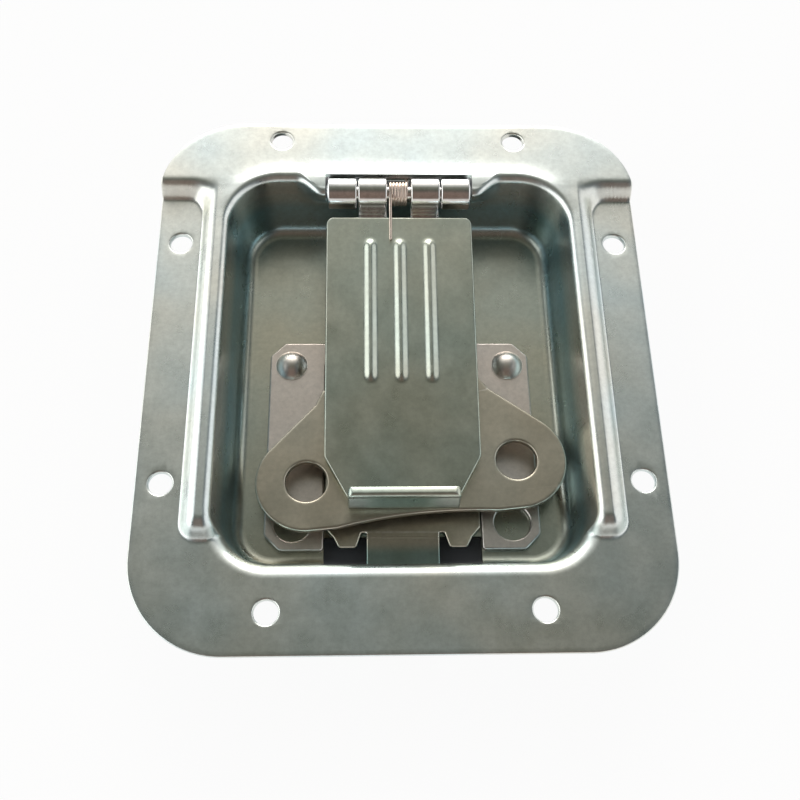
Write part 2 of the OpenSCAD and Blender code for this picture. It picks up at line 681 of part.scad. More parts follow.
module wing() {
    knuckle = wing_knuckle_l / 2;
    cut_w = ear_t + 2 * ear_gap;
    cut_h = 2 * wing_knuckle_r + 2 * ear_gap + wing_t;
    color(zinc) translate([0, rotor_y, wing_z]) rotate(wing_turn) difference() {
        union() {
            translate([0, 0, -wing_t / 2]) linear_extrude(wing_t) wing_outline();
            translate([-knuckle, 0, 0]) rotate([0, 90, 0]) cylinder(r = wing_knuckle_r, h = wing_knuckle_l);
        }
        rotate([0, 90, 0])
            cylinder(r = wing_pin_d / 2 + run_clear, h = wing_knuckle_l + cut_w, center = true);
        // slots for the rotor ears
        for (s = [-1, 1])
            translate([s > 0 ? knuckle : -knuckle - cut_w, -cut_h / 2, -wing_t])
                cube([cut_w, cut_h, 2 * wing_t]);
    }
}

module wing_pin() {
    half = wing_knuckle_l / 2 + ear_gap + ear_t;
    color(bright_zinc) translate([0, rotor_y, wing_z]) rotate(wing_turn) rotate([0, 90, 0])
        cylinder(d = wing_pin_d, h = 2 * half, center = true);
}

// Half of the hook plate's outline, to be mirrored
module hook_outline() {
    side = slot_w / 2 - hook_side_clear;
    bend_y = nose_bend_y;
    tab_y = bend_y - relief_w * 2;
    tab_in = nose_w / 2 + relief_w;
    polygon([[0, rotor_y + hook_up], [side, rotor_y + hook_up], [side, bend_y + 2 * relief_w],
             [tab_w / 2, bend_y], [tab_w / 2 - relief_w, tab_y], [tab_in + relief_w, tab_y],
             [tab_in, bend_y + relief_w], [nose_w / 2, bend_y + relief_w], [nose_w / 2, bend_y],
             [0, bend_y]]);
}

module hook_plate() {
    bend_y = nose_bend_y;
    drop = hook_z - back_z - slide_gap;
    low_z = hook_z - drop;
    tip_y = cavity_y0 - nose_reach;
    slot_half = hub_d / 2 + crank_play;
    crank_y = rotor_y + crank_throw * sin(crank_rest);
    color(bright_zinc) difference() {
        union() {
            translate([0, 0, hook_z]) linear_extrude(hook_t) union() {
                hook_outline();
                mirror([1, 0]) hook_outline();
            }
            // nose: bent down to the back of the dish, then out under the flange to its lip
            translate([-nose_w / 2, 0, 0]) rotate([90, 0, 90]) linear_extrude(nose_w)
                polygon([[bend_y, hook_z], [bend_y, hook_z + hook_t], [bend_y - drop, low_z + hook_t],
                         [tip_y + hook_t, low_z + hook_t], [tip_y + hook_t, low_z + nose_lip_h],
                         [tip_y, low_z + nose_lip_h], [tip_y, low_z], [bend_y - drop, low_z]]);
        }
        // open slot that clears the hub over the whole travel
        translate([-slot_half, rotor_y, hook_z - past])
            cube([2 * slot_half, hook_up + past, hook_t + 2 * past]);
        translate([0, rotor_y, hook_z - past]) cylinder(r = slot_half, h = hook_t + 2 * past);
        // cross slot for the crank pin
        translate([0, crank_y - crank_d / 2 - crank_play, hook_z - past])
            cube([crank_throw + crank_d / 2 + crank_play, crank_d + 2 * crank_play, hook_t + 2 * past]);
    }
}

dish();
base_plate();
base_rivet_left();
base_rivet_right();
hinge_leaf();
hinge_pin();
flap_spring();
flap();
rotor();
rotor_stud();
thrust_washer();
spring_washer();
crank_pin();
wing();
wing_pin();
hook_plate();
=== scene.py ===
"""Looks of a recessed twist latch: a pressed, zinc plated steel dish with a sprung cover flap,
a two-lobed turning wing under it and a sliding hook.

Sizes are in millimetres in the frame of the CAD model (x right, y towards the flap hinge, z out of
the case); they become metres where a mesh is made.
"""

import logging
import math
from collections.abc import Callable
from dataclasses import dataclass
from enum import Enum

import bmesh
import bpy
import numpy as np
from mathutils import Matrix, Vector
from mathutils.geometry import tessellate_polygon


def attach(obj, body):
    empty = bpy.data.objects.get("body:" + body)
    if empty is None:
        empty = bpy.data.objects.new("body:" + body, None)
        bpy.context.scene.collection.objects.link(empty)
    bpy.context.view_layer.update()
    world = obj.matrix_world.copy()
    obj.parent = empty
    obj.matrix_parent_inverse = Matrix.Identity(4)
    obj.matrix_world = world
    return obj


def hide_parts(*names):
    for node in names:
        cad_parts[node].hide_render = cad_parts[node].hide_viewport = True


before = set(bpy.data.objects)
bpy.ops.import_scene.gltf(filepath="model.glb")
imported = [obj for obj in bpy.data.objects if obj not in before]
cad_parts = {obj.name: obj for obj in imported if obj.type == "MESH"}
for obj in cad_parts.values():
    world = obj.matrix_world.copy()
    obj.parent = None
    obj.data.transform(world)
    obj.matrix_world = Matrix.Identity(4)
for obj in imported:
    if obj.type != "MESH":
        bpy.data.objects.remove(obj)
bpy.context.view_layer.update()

MM = 0.001
TAU = 2 * math.pi
FLAT = "flat_cap"
# Painted shade and reflection on the pan by height: darker olive shade on its floor, teal for what the walls
# mirror, unchanged at the rim.
PAN_PAINTED_SHADE = ((-11.7, (0.64, 0.62, 0.54)), (-10.2, (0.57, 0.70, 0.76)), (-4.0, (0.60, 0.82, 0.93)),
              (0.0, (0.9, 0.96, 0.98)), (1.2, (1.0, 1.0, 1.0)))
# Painted shade on the hook's nose where it runs down into the slot: dark teal below the bend.
NOSE_PAINTED_SHADE = ((-13.0, (0.45, 0.62, 0.68)), (-10.8, (0.5, 0.70, 0.78)), (-10.25, (1.0, 1.0, 1.0)),
               (-10.0, (1.0, 1.0, 1.0)))
log = logging.getLogger("latch")

Colour = tuple[float, float, float]


class Body(Enum):
    """Moving bodies of the latch."""

    FRAME = "frame"
    FLAP = "flap"
    ROTOR = "rotor"
    WING = "wing"
    HOOK = "hook"


class Axis(Enum):
    """Axis that a turned shape is revolved about."""

    X = "x"
    Z = "z"


def arc(centre: tuple[float, float], radius: float, start: float, end: float, steps: int) -> np.ndarray:
    """Points of a circular arc.

    Args:
        centre: middle of the circle.
        radius: its radius.
        start: first angle in degrees.
        end: last angle in degrees.
        steps: number of points.

    Returns:
        Array (steps, 2): centre + radius * (cos a, sin a) for evenly spaced angles a.
    """
    a = np.radians(np.linspace(start, end, steps))
    return np.stack([centre[0] + radius * np.cos(a), centre[1] + radius * np.sin(a)], -1)


def rounded_loop(corners: np.ndarray, radii: np.ndarray, steps: int = 7) -> np.ndarray:
    """Closed outline with every corner rounded.

    Each corner gives a circular arc that touches both of its edges: with half the turning angle h,
    the arc starts r * tan(h) before the corner and its centre lies r / cos(h) along the bisector.

    Args:
        corners: array (n, 2) of corner points in order.
        radii: array (n,) of rounding radii.
        steps: points on each arc.

    Returns:
        Array (n * steps, 2) of outline points.
    """
    before = np.roll(corners, 1, 0) - corners
    after = np.roll(corners, -1, 0) - corners
    before = before / np.linalg.norm(before, axis=1, keepdims=True)
    after = after / np.linalg.norm(after, axis=1, keepdims=True)
    half = np.arccos(np.clip((before * after).sum(1), -1, 1)) / 2
    middle = before + after
    middle = middle / np.linalg.norm(middle, axis=1, keepdims=True)
    centre = corners + middle * (radii / np.sin(half))[:, None]
    first = corners + before * (radii / np.tan(half))[:, None] - centre
    last = corners + after * (radii / np.tan(half))[:, None] - centre
    share = np.linspace(0, 1, steps)[None, :, None]
    mixed = first[:, None, :] * (1 - share) + last[:, None, :] * share
    mixed = mixed / np.linalg.norm(mixed, axis=2, keepdims=True) * radii[:, None, None]
    return (centre[:, None, :] + mixed).reshape(-1, 2)


def bent_path(points: np.ndarray, radius: float, steps: int = 8) -> np.ndarray:
    """Open path whose inner corners are rounded by arcs of one radius, as (n, 2) points."""
    arcs = rounded_loop(points, np.full(len(points), radius), steps).reshape(len(points), steps, 2)
    return np.concatenate([points[:1], arcs[1:-1].reshape(-1, 2), points[-1:]])


def circle_loop(centre: tuple[float, float], radius: float, steps: int = 48) -> np.ndarray:
    """Clockwise circle, for a hole in a plate."""
    return arc(centre, radius, 360, 360 / steps, steps)


class Shell:
    """Gathers the grids and flat caps of one piece and makes them one mesh."""

    def __init__(self) -> None:
        """Starts with no surface."""
        self.points: list[np.ndarray] = []
        self.faces: list[list[int]] = []
        self.flat: list[bool] = []
        self.count = 0

    def add(self, points: np.ndarray, faces: list[list[int]], flat: bool = False) -> None:
        """Adds points with the faces that use them.

        Args:
            points: array (n, 3).
            faces: lists of point numbers.
            flat: shades the faces as one flat cap.
        """
        self.faces += [[i + self.count for i in f] for f in faces]
        self.flat += [flat] * len(faces)
        self.points.append(points)
        self.count += len(points)

    def grid(self, points: np.ndarray, wrap_rows: bool = False, wrap_columns: bool = False) -> None:
        """Adds a surface that is given on a grid.

        Args:
            points: array (rows, columns, 3).
            wrap_rows: joins the last row to the first.
            wrap_columns: joins the last column to the first.
        """
        rows, columns = points.shape[:2]
        index = np.arange(rows * columns).reshape(rows, columns)
        if wrap_rows:
            index = np.vstack([index, index[:1]])
        if wrap_columns:
            index = np.hstack([index, index[:, :1]])
        quads = np.stack([index[:-1, :-1], index[1:, :-1], index[1:, 1:], index[:-1, 1:]], -1)
        self.add(points.reshape(-1, 3), quads.reshape(-1, 4).tolist())

    def revolve(self, profile: np.ndarray, origin: tuple[float, float, float], axis: Axis,
                steps: int = 48) -> None:
        """Adds a turned shape: the profile of (radius, height) points goes once round the axis.

        Args:
            profile: array (n, 2); the radius is 0 at a closed end.
            origin: point on the axis where the height is 0.
            axis: direction of the axis.
            steps: stations round the axis.
        """
        a = np.linspace(0, TAU, steps, endpoint=False)
        across = profile[:, :1] * np.cos(a)
        up = profile[:, :1] * np.sin(a)
        along = np.repeat(profile[:, 1:], steps, 1)
        order = [along, across, up] if axis is Axis.X else [across, up, along]
        self.grid(np.stack(order, -1) + np.array(origin), wrap_columns=True)

    def tube(self, x0: float, x1: float, radius: float, bore: float, edge: float,
             origin: tuple[float, float, float]) -> None:
        """Adds a knuckle: a tube along x whose outer edges are rounded.

        Args:
            x0: first end.
            x1: other end.
            radius: outer radius.
            bore: radius of the bore.
            edge: rounding of the outer edges.
            origin: point on the axis where x is 0.
        """
        r, e = radius, edge
        outer = np.concatenate([arc((x0 + e, r - e), e, 180, 90, 6), arc((x1 - e, r - e), e, 90, 0, 6)])
        inner = np.array([[x1, bore + 0.2], [x1 - 0.2, bore], [x0 + 0.2, bore], [x0, bore + 0.2]])
        loop = np.concatenate([outer, inner])[:, ::-1]
        self.revolve(np.concatenate([loop, loop[:1]]), origin, Axis.X)

    def plate(self, loops: list[np.ndarray], low: float, high: float, edge: float,
              margin: float = 0.0) -> None:
        """Adds a flat plate with rounded edges: an edge profile carried along every outline.

        The profile goes from the upper face over a quarter circle, down the wall and over a
        quarter circle to the lower face; the faces between the outlines are flat.

        Args:
            loops: outlines (n, 2), the outer one counter-clockwise, then holes clockwise.
            low: z of the lower face.
            high: z of the upper face.
            edge: rounding of the edges.
            margin: width of a flat border inside the rounding.
        """
        upper = arc((-edge, high - edge), edge, 90, 0, 5)
        lower = arc((-edge, low + edge), edge, 0, -90, 5)
        profile = np.concatenate([upper, lower])
        if margin:
            inner = np.array([[-edge - margin, high], [-edge - margin, low]])
            profile = np.concatenate([inner[:1], profile, inner[1:]])
        caps: list[np.ndarray] = []
        for loop in loops:
            along = np.roll(loop, -1, 0) - np.roll(loop, 1, 0)
            along = along / np.linalg.norm(along, axis=1, keepdims=True)
            out = np.stack([along[:, 1], -along[:, 0]], -1)
            flat = loop[None] + profile[:, 0, None, None] * out[None]
            z = np.repeat(profile[:, 1:], len(loop), 1)
            self.grid(np.concatenate([flat, z[..., None]], -1), wrap_columns=True)
            caps.append(flat[0])
        triangles = [list(t) for t in tessellate_polygon([[Vector((*p, 0)) for p in c] for c in caps])]
        flat = np.concatenate(caps)
        for z in (high, low):
            self.add(np.column_stack([flat, np.full(len(flat), z)]), triangles, True)

    def strap(self, path: np.ndarray, half: float, thickness: float, edge: float) -> None:
        """Adds a bent flat strap: a rounded rectangular section carried along a path of (y, z) points.

        Args:
            path: array (n, 2), the middle line.
            half: half of the width along x.
            thickness: thickness of the strap.
            edge: rounding of its long edges.
        """
        t = np.gradient(path, axis=0)
        t = t / np.linalg.norm(t, axis=1, keepdims=True)
        up = np.stack([-t[:, 1], t[:, 0]], -1)
        w, h = half, thickness / 2
        section = rounded_loop(np.array([[w, -h], [w, h], [-w, h], [-w, -h]]), np.full(4, edge), 5)
        x = np.repeat(section[None, :, 0], len(path), 0)
        yz = path[:, None] + section[None, :, 1:] * up[:, None]
        rows = np.concatenate([x[..., None], yz], -1)
        self.grid(rows, wrap_columns=True)
        for end in (rows[0], rows[-1]):
            self.add(end, [list(range(len(end)))], True)

    def moved(self, turn: float, offset: tuple[float, float, float]) -> None:
        """Turns everything so far about z by degrees, counter-clockwise, and moves it."""
        a = math.radians(turn)
        m = np.array([[math.cos(a), math.sin(a), 0], [-math.sin(a), math.cos(a), 0], [0, 0, 1]])
        self.points = [p @ m + np.array(offset) for p in self.points]

    def wire(self, path: np.ndarray, radius: float, sides: int = 12) -> None:
        """Adds a round bar with ball ends along a path that stays near the yz plane.

        At each station the section lies across the path, on the two directions u = t x X and
        v = t x u, where t is the path's direction; the ends close over quarter circles.

        Args:
            path: array (n, 3).
            radius: radius of the bar.
            sides: points round the section.
        """
        t = np.gradient(path, axis=0)
        t = t / np.linalg.norm(t, axis=1, keepdims=True)
        q = np.linspace(math.pi / 2, 0, 5)[:, None]
        head = path[:1] - t[:1] * radius * np.sin(q)
        tail = path[-1:] + t[-1:] * radius * np.sin(q[::-1])
        size = np.concatenate([np.cos(q[:, 0]), np.ones(len(path)), np.cos(q[::-1, 0])]) * radius
        line = np.concatenate([head, path, tail])
        t = np.concatenate([np.repeat(t[:1], 5, 0), t, np.repeat(t[-1:], 5, 0)])
        u = np.cross(t, [1.0, 0, 0])
        u = u / np.linalg.norm(u, axis=1, keepdims=True)
        v = np.cross(t, u)
        a = np.linspace(0, TAU, sides, endpoint=False)[None, :, None]
        ring = np.cos(a) * u[:, None] + np.sin(a) * v[:, None]
        self.grid(line[:, None] + ring * size[:, None, None], wrap_columns=True)

    def mesh(self, name: str) -> bpy.types.Mesh:
        """Joins everything to one mesh in metres, with doubles merged and faces turned outwards."""
        mesh = bpy.data.meshes.new(name)
        mesh.from_pydata((np.concatenate(self.points) * MM).tolist(), [], self.faces)
        mesh.attributes.new(FLAT, "BOOLEAN", "FACE").data.foreach_set("value", np.array(self.flat))
        bm = bmesh.new()
        bm.from_mesh(mesh)
        bmesh.ops.remove_doubles(bm, verts=bm.verts, dist=2e-6)
        bmesh.ops.dissolve_degenerate(bm, edges=bm.edges, dist=1e-7)
        bmesh.ops.recalc_face_normals(bm, faces=bm.faces)
        bm.to_mesh(mesh)
        bm.free()
        return mesh


def new_group(name: str, inputs: dict[str, tuple[str, object]],
              outputs: dict[str, str]) -> tuple[bpy.types.NodeTree, bpy.types.Node, bpy.types.Node]:
    """Starts a shader node group.

    Args:
        name: name of the group.
        inputs: socket type and default value by name.
        outputs: socket type by name.

    Returns:
        The tree with its input and output nodes.
    """
    tree = bpy.data.node_groups.new(name, "ShaderNodeTree")
    for key, (kind, value) in inputs.items():
        socket = tree.interface.new_socket(key, in_out="INPUT", socket_type=kind)
        if value is not None:
            socket.default_value = value
    for key, kind in outputs.items():
        tree.interface.new_socket(key, in_out="OUTPUT", socket_type=kind)
    return tree, tree.nodes.new("NodeGroupInput"), tree.nodes.new("NodeGroupOutput")


def add_node(nodes: bpy.types.Nodes, kind: str, values: dict[str | int, object] | None = None,
             **settings: object) -> bpy.types.Node:
    """Adds a shader node.

    Args:
        nodes: nodes of the tree.
        kind: type of the node, without the leading ShaderNode.
        values: default values of its inputs, by name or number.
        settings: properties of the node, set before the inputs.

    Returns:
        The node.
    """
    node = nodes.new("ShaderNode" + kind)
    for key, value in settings.items():
        setattr(node, key, value)
    for key, value in (values or {}).items():
        node.inputs[key].default_value = value
    return node


def set_ramp(ramp: bpy.types.Node, stops: tuple[tuple[float, Colour], ...]) -> None:
    """Gives a colour ramp node its stops of (place from 0 to 1, colour), in order."""
    elements = ramp.color_ramp.elements
    while len(elements) < len(stops):
        elements.new(0.5)
    for element, (place, colour) in zip(elements, stops):
        element.position = place
        element.color = (*colour, 1)


class PlatingEffects:
    """Node groups that all zinc finishes share, built once."""

    def __init__(self) -> None:
        """Builds the groups."""
        self.grain = self.rolled_grain()
        self.bloom = self.passivate_bloom()
        # painted highlight on convex edges
        self.edges = self.painted_edge_highlight()

    @staticmethod
    def rolled_grain() -> bpy.types.NodeTree:
        """Fine lines of the rolled sheet, stretched along y, and a soft cloud over them."""
        tree, given, result = new_group(
            "RolledGrain",
            {"Vector": ("NodeSocketVector", None), "Scale": ("NodeSocketFloat", 1.0),
             "Depth": ("NodeSocketFloat", 0.5)},
            {"Height": "NodeSocketFloat", "Mask": "NodeSocketFloat"})
        nodes, link = tree.nodes, tree.links.new
        stretch = add_node(nodes, "Mapping", {"Scale": (1.0, 0.06, 1.0)})
        link(given.outputs["Vector"], stretch.inputs["Vector"])
        scaled = add_node(nodes, "VectorMath", operation="SCALE")
        link(stretch.outputs["Vector"], scaled.inputs["Vector"])
        link(given.outputs["Scale"], scaled.inputs["Scale"])
        lines = add_node(nodes, "TexNoise", {"Scale": 3500.0, "Detail": 3.0})
        link(scaled.outputs["Vector"], lines.inputs["Vector"])
        cloud = add_node(nodes, "TexNoise", {"Scale": 160.0, "Detail": 4.0})
        link(given.outputs["Vector"], cloud.inputs["Vector"])
        both = add_node(nodes, "Math", {1: 0.6}, operation="MULTIPLY_ADD")
        link(cloud.outputs["Fac"], both.inputs[0])
        link(lines.outputs["Fac"], both.inputs[2])
        deep = add_node(nodes, "Math", operation="MULTIPLY")
        link(both.outputs[0], deep.inputs[0])
        link(given.outputs["Depth"], deep.inputs[1])
        link(deep.outputs[0], result.inputs["Height"])
        link(cloud.outputs["Fac"], result.inputs["Mask"])
        return tree

    @staticmethod
    def passivate_bloom() -> bpy.types.NodeTree:
        """Slow change of colour of the passivated plating between two tints, with a fine speckle."""
        tree, given, result = new_group(
            "PassivateBloom",
            {"Vector": ("NodeSocketVector", None), "Scale": ("NodeSocketFloat", 40.0),
             "Cool": ("NodeSocketColor", (0.7, 0.77, 0.78, 1)),
             "Warm": ("NodeSocketColor", (0.8, 0.77, 0.7, 1))},
            {"Color": "NodeSocketColor"})
        nodes, link = tree.nodes, tree.links.new
        patches = add_node(nodes, "TexNoise", {"Detail": 2.0, "Roughness": 0.45})
        link(given.outputs["Vector"], patches.inputs["Vector"])
        link(given.outputs["Scale"], patches.inputs["Scale"])
        span = add_node(nodes, "MapRange", {"From Min": 0.35, "From Max": 0.65})
        link(patches.outputs["Fac"], span.inputs["Value"])
        mix = add_node(nodes, "Mix", data_type="RGBA")
        link(span.outputs["Result"], mix.inputs["Factor"])
        link(given.outputs["Cool"], mix.inputs["A"])
        link(given.outputs["Warm"], mix.inputs["B"])
        fine = add_node(nodes, "TexNoise", {"Scale": 800.0, "Detail": 5.0, "Roughness": 0.7})
        link(given.outputs["Vector"], fine.inputs["Vector"])
        light = add_node(nodes, "MapRange", {"From Min": 0.3, "From Max": 0.7, "To Min": 0.9, "To Max": 1.1})
        link(fine.outputs["Fac"], light.inputs["Value"])
        speck = add_node(nodes, "VectorMath", operation="SCALE")
        link(mix.outputs["Result"], speck.inputs["Vector"])
        link(light.outputs["Result"], speck.inputs["Scale"])
        link(speck.outputs["Vector"], result.inputs["Color"])
        return tree

    @staticmethod
    def painted_edge_highlight() -> bpy.types.NodeTree:
        """Painted highlight on the edges: where the surface is convex, broken up by a fine noise."""
        tree, given, result = new_group(
            "PaintedEdgeHighlight",
            {"Vector": ("NodeSocketVector", None), "Amount": ("NodeSocketFloat", 0.5)},
            {"Mask": "NodeSocketFloat"})
        nodes, link = tree.nodes, tree.links.new
        shape = add_node(nodes, "NewGeometry")
        span = add_node(nodes, "MapRange", {"From Min": 0.56, "From Max": 0.64})
        link(shape.outputs["Pointiness"], span.inputs["Value"])
        rub = add_node(nodes, "TexNoise", {"Scale": 900.0})
        link(given.outputs["Vector"], rub.inputs["Vector"])
        broken = add_node(nodes, "Math", operation="MULTIPLY")
        link(span.outputs["Result"], broken.inputs[0])
        link(rub.outputs["Fac"], broken.inputs[1])
        much = add_node(nodes, "Math", operation="MULTIPLY", use_clamp=True)
        link(broken.outputs[0], much.inputs[0])
        link(given.outputs["Amount"], much.inputs[1])
        link(much.outputs[0], result.inputs["Mask"])
        return tree


@dataclass(frozen=True)
class PlatedFinish:
    """A zinc or bare steel finish, made from the shared effects with its own values."""

    name: str
    slot: str
    cool: Colour
    warm: Colour
    # Tint of the painted highlight on convex edges.
    highlight_tint: Colour
    smooth: float
    dull: float
    grain_scale: float
    grain_depth: float
    # Strength of the painted highlight on convex edges.
    highlight_amount: float
    # Painted shade and reflection by height, as (z, tint) stops; empty for none.
    painted_shade: tuple[tuple[float, Colour], ...] = ()

    def material(self, effects: PlatingEffects) -> bpy.types.Material:
        """Builds the material.

        Args:
            effects: the shared node groups.

        Returns:
            Material with a Principled BSDF whose colour, roughness and normal come from the groups.
        """
        mat = bpy.data.materials.new(self.name)
        mat.use_nodes = True
        nodes, link = mat.node_tree.nodes, mat.node_tree.links.new
        shader = nodes["Principled BSDF"]
        shader.inputs["Metallic"].default_value = 1.0
        place = add_node(nodes, "TexCoord")
        grain = add_node(nodes, "Group", node_tree=effects.grain)
        bloom = add_node(nodes, "Group", node_tree=effects.bloom)
        edges = add_node(nodes, "Group", node_tree=effects.edges)
        grain.inputs["Scale"].default_value = self.grain_scale
        grain.inputs["Depth"].default_value = self.grain_depth
        bloom.inputs["Cool"].default_value = (*self.cool, 1)
        bloom.inputs["Warm"].default_value = (*self.warm, 1)
        edges.inputs["Amount"].default_value = self.highlight_amount
        for group in (grain, bloom, edges):
            link(place.outputs["Object"], group.inputs["Vector"])
        # painted highlight: the colour goes towards the highlight tint on convex edges
        colour = add_node(nodes, "Mix", data_type="RGBA")
        link(edges.outputs["Mask"], colour.inputs["Factor"])
        link(bloom.outputs["Color"], colour.inputs["A"])
        colour.inputs["B"].default_value = (*self.highlight_tint, 1)
        tint = colour.outputs["Result"]
        # painted shade and reflection by height, where the finish has them
        if self.painted_shade:
            tint = self.painted_height_shade(nodes, link, place.outputs["Object"], tint)
        link(tint, shader.inputs["Base Color"])
        rough = add_node(nodes, "MapRange", {"From Min": 0.3, "From Max": 0.7, "To Min": self.smooth,
                                             "To Max": self.dull})
        link(grain.outputs["Mask"], rough.inputs["Value"])
        link(rough.outputs["Result"], shader.inputs["Roughness"])
        bump = add_node(nodes, "Bump", {"Strength": 0.35, "Distance": 0.00002})
        link(grain.outputs["Height"], bump.inputs["Height"])
        link(bump.outputs["Normal"], shader.inputs["Normal"])
        return mat

    def painted_height_shade(self, nodes: bpy.types.Nodes, link: Callable, place: bpy.types.NodeSocket,
                 tint: bpy.types.NodeSocket) -> bpy.types.NodeSocket:
        """Paints shade and reflection by height: teal for the dark surroundings that the drawn walls mirror,
        dark teal for the shade on the hook's nose in the slot, darker olive for the shade on the pan's floor.

        Args:
            nodes: nodes of the material.
            link: makes a link in the material.
            place: object coordinates.
            tint: colour so far.

        Returns:
            The colour times a ramp of the height, unchanged at the rim.
        """
        low, high = self.painted_shade[0][0], self.painted_shade[-1][0]
        split = add_node(nodes, "SeparateXYZ")
        link(place, split.inputs["Vector"])
        depth = add_node(nodes, "MapRange", {"From Min": low * MM, "From Max": high * MM})
        link(split.outputs["Z"], depth.inputs["Value"])
        ramp = add_node(nodes, "ValToRGB")
        ramp.color_ramp.interpolation = "EASE"
        set_ramp(ramp, tuple(((z - low) / (high - low), shade) for z, shade in self.painted_shade))
        link(depth.outputs["Result"], ramp.inputs["Fac"])
        mix = add_node(nodes, "Mix", data_type="RGBA", blend_type="MULTIPLY")
        mix.inputs["Factor"].default_value = 1.0
        link(tint, mix.inputs["A"])
        link(ramp.outputs["Color"], mix.inputs["B"])
        return mix.outputs["Result"]


SATIN_ZINC = PlatedFinish("satin_zinc", "zinc_sheet", (0.68, 0.755, 0.76), (0.75, 0.75, 0.69),
                          (0.86, 0.88, 0.88), 0.26, 0.34, 1.0, 0.35, 0.5, PAN_PAINTED_SHADE)
# Partly painted shade: the wing's (and rotor's) and the flap's tints are set darker because these parts lie
# down in the pan; their hues are the passivate's.
WARM_ZINC = PlatedFinish("warm_zinc", "zinc_sheet", (0.50, 0.475, 0.40), (0.47, 0.42, 0.33),
                         (0.93, 0.90, 0.86), 0.28, 0.38, 1.3, 0.7, 0.7)
HOOK_ZINC = PlatedFinish("hook_zinc", "zinc_sheet", (0.56, 0.52, 0.43), (0.52, 0.46, 0.36),
                         (0.93, 0.90, 0.86), 0.28, 0.38, 1.3, 0.7, 0.7, NOSE_PAINTED_SHADE)
PINK_ZINC = PlatedFinish("pink_zinc", "zinc_sheet", (0.69, 0.645, 0.615), (0.68, 0.605, 0.545),
                         (0.95, 0.92, 0.88), 0.28, 0.38, 1.3, 0.7, 0.7)
FLAP_ZINC = PlatedFinish("flap_zinc", "zinc_sheet", (0.51, 0.575, 0.515), (0.55, 0.56, 0.47),
                         (0.90, 0.92, 0.90), 0.26, 0.36, 1.2, 0.7, 0.6)
RIVET_ZINC = PlatedFinish("rivet_zinc", "bright_zinc", (0.84, 0.80, 0.76), (0.82, 0.76, 0.70),
                          (0.95, 0.93, 0.90), 0.3, 0.4, 0.7, 0.4, 0.4)
BRIGHT_ZINC = PlatedFinish("bright_zinc", "bright_zinc", (0.80, 0.82, 0.84), (0.84, 0.80, 0.76),
                           (0.92, 0.93, 0.94), 0.13, 0.2, 0.7, 0.3, 0.4)
# Painted reflection: the wire's copper-brown tint stands for the brown surroundings that the coil mirrors.
DRAWN_WIRE = PlatedFinish("drawn_wire", "spring_steel", (0.70, 0.60, 0.53), (0.74, 0.62, 0.54),
                          (0.80, 0.74, 0.70), 0.2, 0.3, 2.0, 0.4, 0.5)

ALL_FINISHES = (SATIN_ZINC, WARM_ZINC, HOOK_ZINC, PINK_ZINC, RIVET_ZINC, FLAP_ZINC, BRIGHT_ZINC, DRAWN_WIRE)


class Workshop:
    """Turns finished shells into pieces that ride on the latch's bodies."""

    def __init__(self) -> None:
        """Builds the shared effects and all finishes."""
        effects = PlatingEffects()
        self.finishes = {f.name: f.material(effects) for f in ALL_FINISHES}

    def piece(self, name: str, mesh: bpy.types.Mesh, finish: PlatedFinish, body: Body,
              nodes: tuple[str, ...], crease: float = 40.0) -> bpy.types.Object:
        """Makes a piece of a mesh.

        Args:
            name: name of the piece.
            mesh: its mesh, in place.
            finish: its finish.
            body: body that it rides on.
            nodes: CAD nodes that it stands for.
            crease: angle in degrees above which an edge stays sharp.

        Returns:
            The new object.
        """
        flat = np.zeros(len(mesh.polygons), bool)
        mesh.attributes[FLAT].data.foreach_get("value", flat)
        mesh.attributes.remove(mesh.attributes[FLAT])
        mesh.set_sharp_from_angle(angle=math.radians(crease))
        mesh.polygons.foreach_set("use_smooth", ~flat)
        mesh.materials.clear()
        mesh.materials.append(self.finishes[finish.name])
        piece = bpy.data.objects.new(name, mesh)
        bpy.context.scene.collection.objects.link(piece)
        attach(piece, body.value)
        if nodes:
            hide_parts(*nodes)
        log.info("%s: %d faces on %s", name, len(mesh.polygons), body.value)
        return piece

    def dress(self, node: str, finish: PlatedFinish) -> None:
        """Gives a CAD node that stays as it is a finish."""
        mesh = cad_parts[node].data
        mesh.materials.clear()
        mesh.materials.append(self.finishes[finish.name])
        log.info("%s: CAD shape, %s", node, finish.name)


